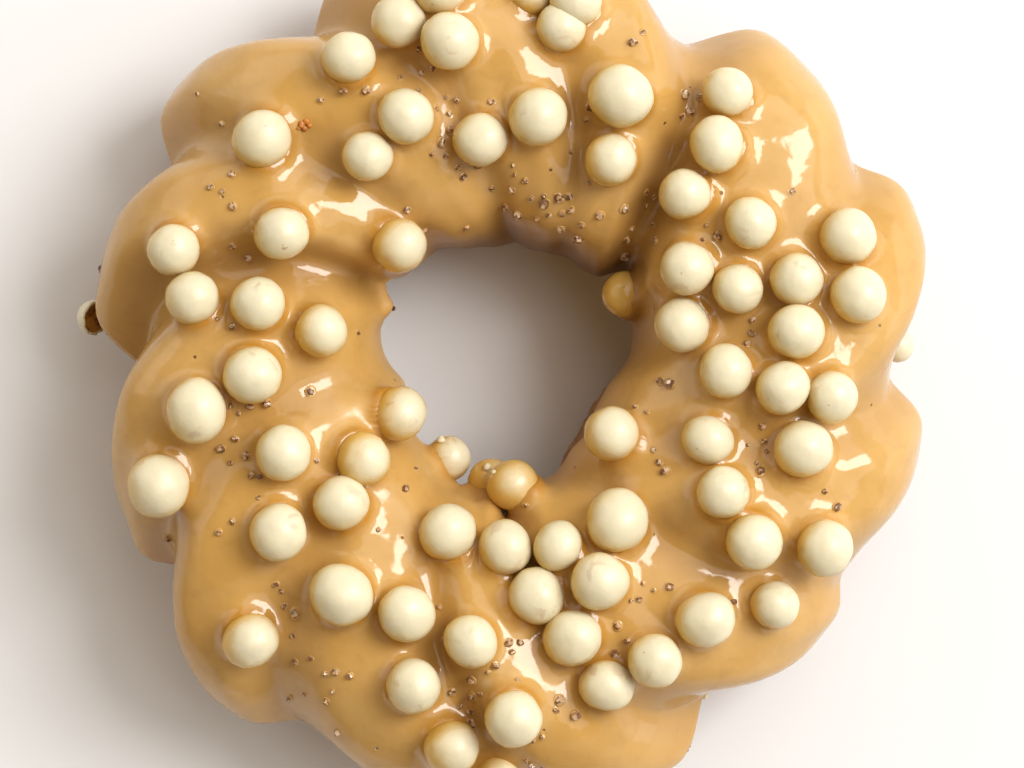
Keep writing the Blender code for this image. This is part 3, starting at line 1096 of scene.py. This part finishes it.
@dataclass
class Icing:
    """The poured icing, a closed shell with a rounded rim at the outer wall and in the hole."""

    skin: Skin
    bare: BareStretch
    columns: int = 660
    face_rows: int = 128
    nose_rows: int = 7
    back_rows: int = 6
    outer_rim: float = math.radians(-12.0)
    inner_rim: float = math.radians(192.0)
    outer_rim_seed: int = 5
    inner_rim_seed: int = 44
    rim_waves: int = 5
    rim_wave_size: float = math.radians(5.0)
    nose_depth: float = 2.15 * MM
    nose_roll: float = math.radians(6.0)
    back_groove_scale: float = 1.35
    rise: float = 1.25 * MM
    rise_reach: float = 0.62 * MM
    rise_limit: float = 5.0 * MM
    rise_spread: Span = (0.75, 1.15)
    rise_join: int = 3
    rise_seed: int = 8
    contact: float = 0.93
    ripple: float = 0.20 * MM
    ripple_size: float = 8.0 * MM
    ripple_seed: float = 1.3
    rim_density: float = 0.14
    groove_shade_depth: float = 2.8 * MM
    groove_shade_least: float = 0.4
    groove_shade_from: float = 0.5
    far_wall_shade_bearing: float = math.radians(66.0)
    far_wall_shade_span: float = math.radians(62.0)
    far_wall_shade_from: float = math.radians(138.0)
    far_wall_shade_to: float = math.radians(172.0)
    inner_from: float = math.radians(125.0)
    inner_to: float = math.radians(165.0)

    def rims(self, phase: np.ndarray) -> tuple[np.ndarray, np.ndarray]:
        """Rolls of the rims, which wander as poured icing does.

        Args:
            phase: place among the flutes.

        Returns:
            The outer rim's roll and the inner rim's.
        """
        turn = phase * math.tau / len(FLUTES)
        size = self.rim_wave_size
        outer = self.outer_rim + size * waves(turn, 0.0, self.outer_rim_seed, self.rim_waves, 0)
        inner = self.inner_rim + size * waves(turn, 0.0, self.inner_rim_seed, self.rim_waves, 0)
        return outer, inner - self.bare.retreat * self.bare.share(self.skin, phase)

    def layout(self) -> tuple[np.ndarray, ...]:
        """Rows of the shell: outer rim's nose, outer face, inner rim's nose, and back underneath.

        Returns:
            Phase, roll, inset and groove scale at each point, and whether it is on the outer face.
        """
        phases = np.arange(self.columns) * len(FLUTES) / self.columns
        outer, inner = self.rims(phases)
        turn = np.arange(self.nose_rows) / self.nose_rows * math.pi / 2.0
        in_from_rim = self.nose_roll * (1.0 - np.cos(turn))
        depth = self.nose_depth * (1.0 - np.sin(turn))
        share = np.linspace(0.0, 1.0, self.face_rows)
        share = share - self.rim_density * np.sin(math.tau * share) / math.tau
        face = (outer + self.nose_roll) + (inner - outer - 2.0 * self.nose_roll) * share[:, None]
        back_share = np.linspace(1.0, 0.0, self.back_rows + 2)[1:-1, None]
        rolls = np.vstack([
            outer + in_from_rim[:, None],
            face,
            (inner - in_from_rim[:, None])[::-1],
            outer + (inner - outer) * back_share,
        ])
        back = np.full(self.back_rows, self.nose_depth)
        insets = np.concatenate([depth, np.zeros(self.face_rows), depth[::-1], back])
        inset = np.repeat(insets[:, None], self.columns, axis=1)
        groove = 1.0 + (self.back_groove_scale - 1.0) * inset / self.nose_depth
        on_face = np.arange(len(insets)) < 2 * self.nose_rows + self.face_rows
        return np.broadcast_to(phases, rolls.shape), rolls, inset, groove, on_face

    def surface(self) -> tuple[np.ndarray, np.ndarray, np.ndarray]:
        """The bare icing, before it rises round what is sunk in it.

        Returns:
            Its points, its normals and the share of each point that may rise.
        """
        phase, roll, inset, groove, on_face = self.layout()
        places = self.skin.points(phase, roll, inset, groove)
        normals = grid_normals(places)
        free = np.clip(1.0 - inset / self.nose_depth, 0.0, 1.0) * on_face[:, None]
        lift = self.ripple * fractal(places, self.ripple_size, self.ripple_seed, 2)
        for x, y, z, spread, height in SWELLS:
            distance = np.linalg.norm(places - np.array((x, y, z)) * MM, axis=-1)
            lift = lift + height * MM * np.exp(-((distance / (spread * MM)) ** 2))
        return places + normals * (lift * free)[..., None], normals, free

    def gathered(self, places: np.ndarray, seats: Sequence[Seat]) -> np.ndarray:
        """Height to which icing climbs round each pearl.

        Args:
            places: points of the bare icing.
            seats: where pearls sit.

        Returns:
            A height for each point.
        """
        total = np.zeros(places.shape[:-1])
        draw = random.Random(self.rise_seed)
        for seat in seats:
            away = places - np.array(seat.centre)
            distance = np.linalg.norm(away, axis=-1)
            near = distance < seat.radius + self.rise_limit
            height = seat.radius - PEARL_SINK
            lateral = np.sqrt(np.maximum(distance[near] ** 2 - height**2, 0.0))
            outside = np.maximum(lateral - seat.radius * self.contact, 0.0)
            rise = self.rise * draw.uniform(*self.rise_spread) * np.exp(-outside / self.rise_reach)
            total[near] += rise**self.rise_join
        return total ** (1.0 / self.rise_join)

    def far_wall_shade(self, phase: np.ndarray, roll: np.ndarray) -> np.ndarray:
        """Painted shade on the far wall of the hole, which lies in shadow.

        Args:
            phase: place among the flutes.
            roll: place round the tube.

        Returns:
            A share for each point.
        """
        bearing = self.skin.bearing(phase, roll)
        away = (bearing - self.far_wall_shade_bearing + math.pi) % math.tau - math.pi
        down = np.clip((roll - self.far_wall_shade_from) / (self.far_wall_shade_to - self.far_wall_shade_from), 0.0, 1.0)
        return np.exp(-((away / self.far_wall_shade_span) ** 4)) * down * down * (3.0 - 2.0 * down)

    def build(self, seats: Sequence[Seat]) -> bpy.types.Object:
        """Make the icing.

        Args:
            seats: where pearls sit in it.

        Returns:
            The finished piece.
        """
        places, normals, free = self.surface()
        climb = self.gathered(places, seats) * free
        places = places + normals * climb[..., None]
        phase, roll, _, _, _ = self.layout()
        icing = closed_grid("caramel_glaze", places)
        store(icing.data, "gathered", np.clip(climb / self.rise, 0.0, 1.0))
        # Painted shade in the grooves, stronger on the side towards the hole.
        inward = np.clip(self.groove_shade_from - np.cos(roll), 0.0, 1.0)
        inward = self.groove_shade_least + (1.0 - self.groove_shade_least) * inward
        painted_groove_shade = np.clip(self.skin.groove(phase, roll) / self.groove_shade_depth, 0.0, 1.0)
        store(icing.data, "painted_groove_shade", inward * painted_groove_shade)
        store(icing.data, "far_wall_shade", self.far_wall_shade(phase, roll))
        inner = (roll - self.inner_from) / (self.inner_to - self.inner_from)
        store(icing.data, "inner", np.clip(inner, 0.0, 1.0))
        icing.data.materials.append(IcingFinish().make())
        return icing


@dataclass(frozen=True)
class Scatter:
    """Copies of one small form, each turned, stretched and made uneven, grown from a point each."""

    name: str
    seed: int
    least: tuple[float, float, float] = (1.0, 1.0, 1.0)
    most: tuple[float, float, float] = (1.0, 1.0, 1.0)
    tumble: tuple[float, float, float] = (0.0, 0.0, math.tau)
    lump: float = 0.0
    lump_size: float = 1.0 * MM
    smooth: bool = True
    # Direction toward the light; the pearls' painted light and shade follow it.
    lean: tuple[float, float, float] = (0.42, 0.14, 0.90)
    subdivisions: int = 2

    def form(self, shape: Shape) -> Wire:
        """The form that is repeated, of radius 1."""
        size = {"Radius": 1.0, "Subdivisions": self.subdivisions}
        return shape.node("GeometryNodeMeshIcoSphere", None, size)

    def dress(self, shape: Shape, grown: Wire) -> Wire:
        """Store more on the real copies; here nothing."""
        return grown

    def tree(self, material: bpy.types.Material) -> Shape:
        """Build the tree that puts a copy on each point.

        Args:
            material: what the copies are made of.

        Returns:
            The tree.
        """
        shape = Shape(self.name + "_on_points")
        least = shape.size("Least stretch", "NodeSocketVector")
        most = shape.size("Most stretch", "NodeSocketVector")
        tumble = shape.size("Tumble", "NodeSocketVector")
        lump = shape.size("Lump height")
        lump_size = shape.size("Lump size")
        seed = shape.size("Seed", "NodeSocketInt")
        random_vector = {"data_type": "FLOAT_VECTOR"}
        up = shape.stored("up", "FLOAT_VECTOR")
        upright = shape.node("FunctionNodeAlignRotationToVector", {"axis": "Z"}, {"Vector": up})
        turning = {0: (0.0, 0.0, 0.0), 1: tumble, "Seed": seed}
        turns = shape.node("FunctionNodeRandomValue", random_vector, turning)
        turns = shape.node("FunctionNodeEulerToRotation", None, {0: turns})
        both = {0: upright, 1: turns}
        turned = shape.node("FunctionNodeRotateRotation", {"rotation_space": "LOCAL"}, both)
        stretching = {0: least, 1: most, "Seed": seed}
        stretch = shape.node("FunctionNodeRandomValue", random_vector, stretching)
        stretch = shape.scaled(stretch, shape.stored("radius"))
        copies = {
            "Points": shape.points,
            "Instance": self.form(shape),
            "Rotation": turned,
            "Scale": stretch,
        }
        grown = shape.node("GeometryNodeInstanceOnPoints", None, copies)
        grown = shape.node("GeometryNodeRealizeInstances", None, {0: grown})
        place = shape.node("GeometryNodeInputPosition")
        out = {0: place, 1: shape.stored("centre", "FLOAT_VECTOR")}
        arm = shape.node("ShaderNodeVectorMath", {"operation": "SUBTRACT"}, out)
        # How far each point faces the light, stored for the pearls' painted light and shade.
        dot = {"operation": "DOT_PRODUCT"}
        light_facing = shape.node("ShaderNodeVectorMath", dot, {0: arm, 1: self.lean}, "Value")
        light_facing = light_facing * (1.0 / shape.stored("radius"))
        stored = {"Geometry": grown, "Name": "light_facing", "Value": light_facing}
        grown = shape.node("GeometryNodeStoreNamedAttribute", {"data_type": "FLOAT"}, stored)
        lumps = {"Vector": place, "Scale": 1.0 / lump_size, "Detail": 2.0}
        wave = shape.node("ShaderNodeTexNoise", None, lumps)
        push = wave.swing(lump) * shape.stored("radius")
        push = shape.scaled(shape.node("GeometryNodeInputNormal"), push)
        grown = shape.node("GeometryNodeSetPosition", None, {"Geometry": grown, "Offset": push})
        shape.finish(self.dress(shape, grown), material, self.smooth)
        return shape

    def build(self, spots: Sequence[Seat], material: bpy.types.Material) -> bpy.types.Object:
        """Make the copies.

        Args:
            spots: where they sit.
            material: what they are made of.

        Returns:
            The finished piece.
        """
        mesh = bpy.data.meshes.new(self.name)
        mesh.from_pydata([spot.centre for spot in spots], [], [])
        store(mesh, "radius", [spot.radius for spot in spots])
        store(mesh, "tone", [spot.tone for spot in spots])
        store(mesh, "centre", [part for spot in spots for part in spot.centre])
        store(mesh, "up", [part for spot in spots for part in spot.up])
        sizes = {
            "Least stretch": self.least,
            "Most stretch": self.most,
            "Tumble": self.tumble,
            "Lump height": self.lump,
            "Lump size": self.lump_size,
            "Seed": self.seed,
        }
        return self.tree(material).grow(new_object(self.name, mesh), sizes)


@dataclass(frozen=True)
class PearlScatter(Scatter):
    """Crisp pearls, nearly round."""

    subdivisions: int = 4

    def form(self, shape: Shape) -> Wire:
        """A ball with its height stored on it.

        Args:
            shape: tree that it is built in.

        Returns:
            The ball, of radius 1.
        """
        ball = super().form(shape)
        place = shape.node("GeometryNodeInputPosition")
        level = shape.node("ShaderNodeSeparateXYZ", None, {0: place}, "Z")
        stored = {"Geometry": ball, "Name": "height", "Value": level}
        return shape.node("GeometryNodeStoreNamedAttribute", {"data_type": "FLOAT"}, stored)


@dataclass(frozen=True)
class CrystalScatter(Scatter):
    """Sugar crystals: cubes with worn edges and corners."""

    fullness: float = 1.32
    wear: float = 0.36

    def form(self, shape: Shape) -> Wire:
        """A cube of three points a side, its edges and corners drawn in.

        Args:
            shape: tree that it is built in.

        Returns:
            The cube.
        """
        size = {"Size": (2.0, 2.0, 2.0), "Vertices X": 3, "Vertices Y": 3, "Vertices Z": 3}
        cube = shape.node("GeometryNodeMeshCube", None, size)
        place = shape.node("GeometryNodeInputPosition")
        reach = shape.node("ShaderNodeVectorMath", {"operation": "LENGTH"}, {0: place}, "Value")
        drawn = shape.scaled(place, self.fullness - reach * self.wear)
        return shape.node("GeometryNodeSetPosition", None, {"Geometry": cube, "Position": drawn})

    def dress(self, shape: Shape, grown: Wire) -> Wire:
        """Store a random number on each facet.

        Args:
            shape: tree that it is built in.
            grown: the real copies.

        Returns:
            The copies with the number on them.
        """
        facet = shape.node("FunctionNodeRandomValue", {"data_type": "FLOAT"}, {2: 0.0, 3: 1.0}, 1)
        stored = {"Geometry": grown, "Name": "facet", "Value": facet}
        settings = {"data_type": "FLOAT", "domain": "FACE"}
        return shape.node("GeometryNodeStoreNamedAttribute", settings, stored)


@dataclass(frozen=True)
class CollarScatter(Scatter):
    """Low collars of icing that stand round the sugar."""

    segments: int = 12
    rings: int = 6

    def form(self, shape: Shape) -> Wire:
        """A ball of a few faces, which the stretch makes flat."""
        size = {"Segments": self.segments, "Rings": self.rings, "Radius": 1.0}
        return shape.node("GeometryNodeMeshUVSphere", None, size)


@dataclass
class Pearls:
    """Crisp pearls, let down on the icing or pressed into the wall of the hole."""

    drop_steps: int = 80
    scatter: PearlScatter = PearlScatter(
        "crisp_pearls",
        3,
        least=(0.94, 0.94, 0.92),
        most=(1.06, 1.06, 1.03),
        lump=0.2,
        lump_size=3.6 * MM,
    )

    def dropped(self, skin: BVHTree, pearl: Pearl) -> Seat:
        """Let a pearl down until it has sunk into the icing.

        Args:
            skin: the bare icing.
            pearl: the pearl as seen from above.

        Returns:
            Its seat.
        """
        radius = pearl.width / 2.0 * MM
        centre = Vector((pearl.x * MM, pearl.y * MM, DROP_FROM))
        for _ in range(self.drop_steps):
            nearest, _, _, distance = skin.find_nearest(centre)
            centre.z -= distance - (radius - PEARL_SINK)
        return Seat(centre, (centre - nearest).normalized(), radius, pearl.coat)

    def pressed(self, skin: BVHTree, place: Sequence[float], coat: float) -> Seat:
        """Press a pearl into the nearest wall.

        Args:
            skin: the bare icing.
            place: x, y, z and width in millimetres.
            coat: how far icing coats it.

        Returns:
            Its seat.
        """
        radius = place[3] / 2.0 * MM
        nearest, normal, _, _ = skin.find_nearest(Vector(place[:3]) * MM)
        return Seat(nearest + normal * (radius - PEARL_SINK), normal, radius, coat)

    def seats(self, skin: BVHTree) -> list[Seat]:
        """Seats of all pearls."""
        crown = [self.dropped(skin, Pearl(*row)) for lobe in CROWN_PEARLS for row in lobe]
        return crown + [self.pressed(skin, row[:4], row[4]) for row in HOLE_PEARLS]

    def build(self, seats: Sequence[Seat]) -> bpy.types.Object:
        """Make the pearls."""
        return self.scatter.build(seats, PearlFinish().make())


@dataclass
class Sugar:
    """Coarse sugar in patches, with strays between, each grain in a collar of icing."""

    smallest: float = 0.22 * MM
    largest: float = 0.58 * MM
    spacing: float = 0.85 * MM
    strays: int = 80
    stray_spread: float = 24.0
    steepest: float = 0.3
    sink: float = 0.35
    seed: int = 17
    collar_width: float = 1.35
    crystals: CrystalScatter = CrystalScatter(
        "sugar_grains",
        31,
        least=(0.6, 0.6, 0.6),
        most=(1.2, 1.2, 1.2),
        tumble=(math.tau, math.tau, math.tau),
        lump=0.9,
        lump_size=0.45 * MM,
        smooth=False,
    )
    collars: CollarScatter = CollarScatter(
        "sugar_collars",
        32,
        least=(0.7, 0.8, 0.1),
        most=(1.15, 1.2, 0.22),
    )

    def spots(self, icing: BVHTree, seats: Sequence[Seat]) -> list[Seat]:
        """Draw where the grains lie.

        Args:
            icing: the finished icing.
            seats: pearls that keep the grains away.

        Returns:
            A seat for each grain.
        """
        draw = random.Random(self.seed)
        wanted = [(x, y, spread) for x, y, spread, count in SUGAR_PATCHES for _ in range(count)]
        wanted += [(0.0, 0.0, self.stray_spread)] * self.strays
        spots: list[Seat] = []
        for x, y, spread in wanted:
            above = Vector((draw.gauss(x, spread) * MM, draw.gauss(y, spread) * MM, DROP_FROM))
            radius = draw.triangular(self.smallest, self.largest, self.smallest)
            hit, normal, _, _ = icing.ray_cast(above, DOWN)
            if hit is None or normal.z < self.steepest:
                continue
            if any((hit - seat.centre).length < seat.radius + radius for seat in seats):
                continue
            if any((hit - spot.centre).length < self.spacing for spot in spots):
                continue
            spots.append(Seat(hit + normal * radius * self.sink, normal, radius, draw.random()))
        return spots

    def build(self, spots: Sequence[Seat]) -> tuple[bpy.types.Object, bpy.types.Object]:
        """Make the grains and their collars.

        Args:
            spots: where the grains lie.

        Returns:
            The grains and the collars, each kind as one piece.
        """
        grains = self.crystals.build(spots, GrainFinish().make())
        rims = []
        for spot in spots:
            foot = spot.centre - spot.up * spot.radius * self.sink
            rims.append(Seat(foot, spot.up, spot.radius * self.collar_width, 0.0))
        return grains, self.collars.build(rims, IcingFinish("sugar_collar_icing").make())


@dataclass
class Crumbs:
    """Crumbs of crust, sugar and broken pearl that fell on the icing."""

    sink: float = 0.4
    scatter: Scatter = Scatter(
        "fallen_crumbs",
        41,
        least=(0.75, 0.75, 0.6),
        most=(1.25, 1.25, 0.9),
        lump=1.1,
        lump_size=0.5 * MM,
    )

    def build(self, ground: BVHTree) -> bpy.types.Object:
        """Let the crumbs down.

        Args:
            ground: the finished icing and pearls.

        Returns:
            The finished piece.
        """
        spots = []
        for x, y, width, tone in CRUMBS:
            hit, normal, _, _ = ground.ray_cast(Vector((x * MM, y * MM, DROP_FROM)), DOWN)
            radius = width / 2.0 * MM
            if hit is not None:
                spots.append(Seat(hit + normal * radius * self.sink, normal, radius, tone))
        for x, y, z, width, tone in WALL_CRUMBS:
            hit, normal, _, _ = ground.find_nearest(Vector((x, y, z)) * MM)
            radius = width / 2.0 * MM
            spots.append(Seat(hit + normal * radius * self.sink, normal, radius, tone))
        return self.scatter.build(spots, CrumbFinish().make())


class Half(NamedTuple):
    """Half of a broken pearl: centre, direction its broken side faces, and width in millimetres."""

    x: float
    y: float
    z: float
    facing: tuple[float, float, float]
    width: float


@dataclass(frozen=True)
class BrokenFinish:
    """Ivory shell, and a toasted crumb inside it."""

    ivory: Colour = (0.66, 0.60, 0.43)
    toasted: Colour = (0.55, 0.26, 0.04)
    brown: Colour = (0.15, 0.055, 0.015)
    pore: float = 0.5 * MM
    pore_share: float = 0.3
    grain: Clouds = Clouds(0.9 * MM, 3.0)
    core_edge: Span = (0.55, 0.85)
    inside_swing: float = 0.4
    inside_edge: Span = (0.35, 0.65)
    relief: float = 0.1 * MM
    roughness: float = 0.4
    inside_roughness: float = 0.25

    def make(self) -> bpy.types.Material:
        """Build the material.

        Returns:
            Shell and crumb in one finish, told apart by what is stored on the mesh.
        """
        paint = Paint("broken_pearl_shell")
        pores = paint.cells(self.pore)
        grain = paint.clouds(self.grain)
        dark = (grain + pores * self.pore_share).ramp(*self.core_edge)
        core = paint.mix(dark, self.toasted, self.brown)
        inside = paint.attribute("inside") + grain.swing(self.inside_swing)
        inside = inside.ramp(*self.inside_edge)
        return paint.finish({
            "Base Color": paint.mix(inside, self.ivory, core),
            "Roughness": self.roughness + inside * self.inside_roughness,
            "Normal": paint.bump(pores * inside + grain, self.relief),
        })


@dataclass(frozen=True)
class BrokenPearls:
    """Two halves of broken pearls, stuck in the outer walls."""

    name: str = "broken_pearls"
    columns: int = 56
    outer_rows: int = 16
    inner_rows: int = 14
    wall: float = 0.26
    hollow: float = 0.5
    rim: float = math.radians(8.0)
    chip: float = math.radians(14.0)
    chip_size: float = 0.55
    chip_seed: float = 3.0
    halves: tuple[Half, ...] = (
        Half(-44.4, 5.8, 9.5, (0.75, -0.25, 0.62), 3.8),
        Half(41.4, 2.8, 9.5, (-0.7, 0.55, -0.45), 3.6),
    )

    def unit(self, seed: float) -> tuple[np.ndarray, np.ndarray]:
        """Rows of a half of radius 1 that opens upward, from outer pole over rim to inner pole.

        Args:
            seed: picks how the rim is chipped.

        Returns:
            The rows, and how far inside each of them lies.
        """
        turn = np.arange(self.columns) * math.tau / self.columns
        ring = np.stack([np.cos(turn), np.sin(turn), np.zeros_like(turn)], axis=-1)
        rim = self.rim + self.chip * fractal(ring, self.chip_size, seed)
        rise = np.linspace(0.0, 1.0, self.outer_rows)[:, None]
        fall = np.linspace(1.0, 0.0, self.inner_rows)[:, None]
        outer = -math.pi / 2.0 + (rim + math.pi / 2.0) * rise
        inner = -math.pi / 2.0 + (rim + math.pi / 2.0) * fall
        radius = 1.0 - self.wall
        flat = np.vstack([np.cos(outer), radius * np.cos(inner)])
        level = np.vstack([np.sin(outer), radius * np.sin(inner) * self.hollow])
        rows = np.stack([flat * ring[:, 0], flat * ring[:, 1], level], axis=-1)
        return rows, np.repeat([0.0, 1.0], [self.outer_rows, self.inner_rows])

    def build(self) -> bpy.types.Object:
        """Make both halves as one piece.

        Returns:
            The finished piece.
        """
        shape = bmesh.new()
        layer = shape.verts.layers.float.new("inside")
        for count, half in enumerate(self.halves):
            rows, inside = self.unit(self.chip_seed + count)
            turn = Vector(half.facing).to_track_quat("Z", "Y").to_matrix()
            centre = Vector(half[:3]) * MM
            radius = half.width / 2.0 * MM
            grid = []
            for row, share in zip(rows, inside):
                on_axis = np.abs(row[:, :2]).max() < ON_AXIS
                points = [Vector(row[0])] if on_axis else [Vector(point) for point in row]
                made = [shape.verts.new(centre + turn @ point * radius) for point in points]
                for vertex in made:
                    vertex[layer] = share
                grid.append(made * (self.columns if on_axis else 1))
            for lower, upper in zip(grid, grid[1:]):
                for near in range(self.columns):
                    far = (near + 1) % self.columns
                    corners = (lower[near], lower[far], upper[far], upper[near])
                    shape.faces.new(dict.fromkeys(corners))
        bmesh.ops.recalc_face_normals(shape, faces=shape.faces)
        mesh = bpy.data.meshes.new(self.name)
        shape.to_mesh(mesh)
        shape.free()
        mesh.shade_smooth()
        mesh.materials.append(BrokenFinish().make())
        return new_object(self.name, mesh)


@dataclass(frozen=True)
class Panel:
    """A soft light on a circle round the ring."""

    name: str
    bearing: float
    rise: float
    away: float
    size: tuple[float, float]
    glow: float
    colour: Colour = (1.0, 1.0, 1.0)

    def build(self) -> None:
        """Hang the light and turn it to the middle of the ring."""
        data = bpy.data.lights.new(self.name, "AREA")
        data.shape = "RECTANGLE"
        data.size, data.size_y = self.size
        data.energy = self.glow * math.pi * self.size[0] * self.size[1]
        data.color = self.colour
        light = bpy.data.objects.new(self.name, data)
        flat = math.cos(self.rise)
        around = (flat * math.cos(self.bearing), flat * math.sin(self.bearing))
        place = Vector((*around, math.sin(self.rise)))
        light.location = place * self.away
        light.rotation_euler = place.to_track_quat("Z", "Y").to_euler()
        bpy.context.scene.collection.objects.link(light)


@dataclass
class Studio:
    """Camera, a window at the right, a room that is darker overhead and aside, and a board."""

    view_width: float = 108.9 * MM
    view_level: float = 12.0 * MM
    camera_place: tuple[float, float, float] = (1.3 * MM, -0.9 * MM, 500.0 * MM)
    sensor: float = 36.0
    board_size: float = 3.0
    board_level: float = -0.1 * MM
    panels: tuple[Panel, ...] = (
        Panel("window_light", math.radians(25.0), math.radians(48.0), 1.0, (0.42, 0.58), 10.8),
        Panel("window_halo", math.radians(30.0), math.radians(56.0), 1.1, (1.5, 1.1), 1.4),
        Panel("window_foot", math.radians(18.0), math.radians(8.0), 1.0, (1.2, 0.24), 1.2),
        Panel(
            "left_wall",
            math.radians(138.0),
            math.radians(33.0),
            1.2,
            (1.8, 0.7),
            0.6,
            (1.0, 0.97, 0.93),
        ),
    )
    wall: Colour = (0.84, 0.81, 0.765)
    far_wall: Colour = (0.36, 0.29, 0.22)
    ceiling: Colour = (0.24, 0.15, 0.065)
    wall_top: float = 0.66
    ceiling_start: float = 0.72
    sheen_share: float = 0.8
    far_side: Span = (0.5, 0.87)
    far_edge: Span = (0.25, 0.85)

    def camera(self) -> None:
        """Look straight down, as the photo does."""
        data = bpy.data.cameras.new("camera")
        data.sensor_width = self.sensor
        data.lens = self.sensor * (self.camera_place[2] - self.view_level) / self.view_width
        camera = bpy.data.objects.new("camera", data)
        camera.location = self.camera_place
        bpy.context.scene.collection.objects.link(camera)
        bpy.context.scene.camera = camera

    def floor(self) -> None:
        """Lay the board."""
        place = (0.0, 0.0, self.board_level)
        bpy.ops.mesh.primitive_plane_add(size=self.board_size, location=place)
        board = bpy.context.object
        board.name = "board"
        board.data.materials.append(FloorFinish().make())

    def surround(self) -> None:
        """Light the room: pale walls, a darker one at the lower left, and a dark ceiling."""
        world = bpy.data.worlds.new("soft_surround")
        world.use_nodes = True
        graph = Graph(world.node_tree)
        graph.tree.nodes.clear()
        direction = graph.node("ShaderNodeTexCoord", output="Generated")
        rise = graph.node("ShaderNodeSeparateXYZ", None, {0: direction}, "Z")
        aside = graph.node("ShaderNodeSeparateXYZ", None, {0: direction}, "X")
        behind = graph.node("ShaderNodeSeparateXYZ", None, {0: direction}, "Y")
        far = (aside * -self.far_side[0] - behind * self.far_side[1]).ramp(*self.far_edge)
        walls = graph.mix(far, self.wall, self.far_wall)
        shade = graph.mix(rise.ramp(self.wall_top, self.ceiling_start), walls, self.ceiling)
        painted_reflection = graph.node("ShaderNodeLightPath", output="Is Glossy Ray")
        strength = 1.0 - painted_reflection * (1.0 - self.sheen_share)
        glow = graph.node("ShaderNodeBackground", None, {"Color": shade, "Strength": strength})
        graph.node("ShaderNodeOutputWorld", None, {"Surface": glow})
        bpy.context.scene.world = world

    def build(self) -> None:
        """Set up the studio."""
        self.camera()
        self.floor()
        self.surround()
        for panel in self.panels:
            panel.build()
        bpy.context.scene.view_settings.view_transform = "Standard"


def finish_piece(piece: bpy.types.Object, slot: Slot, *nodes: str) -> None:
    """Move a piece to the ring's place, fix it to the ring and report it.

    Args:
        piece: the piece.
        slot: not used.
        nodes: nodes that it stands for.
    """
    piece.data.transform(Matrix.Translation(RING_PLACE))
    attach(piece, BODY)
    if nodes:
        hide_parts(*nodes)
    piece.data.calc_loop_triangles()
    LOG.info("%s: %d triangles", piece.name, len(piece.data.loop_triangles))


def surface_tree(places: np.ndarray) -> BVHTree:
    """Make a tree for finding places on a closed grid of points.

    Args:
        places: points as rows round the tube and columns round the ring.

    Returns:
        The tree.
    """
    helper = closed_grid("surface_to_search", places)
    tree = BVHTree.FromObject(helper, bpy.context.evaluated_depsgraph_get())
    mesh = helper.data
    bpy.data.objects.remove(helper, do_unlink=True)
    bpy.data.meshes.remove(mesh)
    return tree


def tree_of(*pieces: bpy.types.Object) -> BVHTree:
    """Make a tree for finding places on pieces.

    Args:
        pieces: what to search.

    Returns:
        The tree.
    """
    points: list[Vector] = []
    faces: list[list[int]] = []
    for piece in pieces:
        first = len(points)
        faces += [[first + corner for corner in face.vertices] for face in piece.data.polygons]
        points += [point.co for point in piece.data.vertices]
    return BVHTree.FromPolygons(points, faces)


def main() -> None:
    """Dress the ring, piece by piece."""
    logging.basicConfig(level=logging.INFO, format="%(name)s: %(message)s")
    Studio().build()
    skin = Skin()
    bare = BareStretch()
    dough = DoughRing(skin, bare).build()
    icing_maker = Icing(skin, bare)
    bare_face, _, _ = icing_maker.surface()
    pearls_maker = Pearls()
    seats = pearls_maker.seats(surface_tree(bare_face))
    icing = icing_maker.build(seats)
    pearls = pearls_maker.build(seats)
    sugar = Sugar()
    grains, collars = sugar.build(sugar.spots(tree_of(icing), seats))
    crumbs = Crumbs().build(tree_of(icing, pearls))
    broken = BrokenPearls().build()
    finish_piece(dough, Slot.DOUGH, "dough_ring")
    finish_piece(icing, Slot.ICING, "caramel_icing")
    for piece in (pearls, grains, collars, crumbs, broken):
        finish_piece(piece, Slot.ICING)


if __name__ == "__main__":
    main()
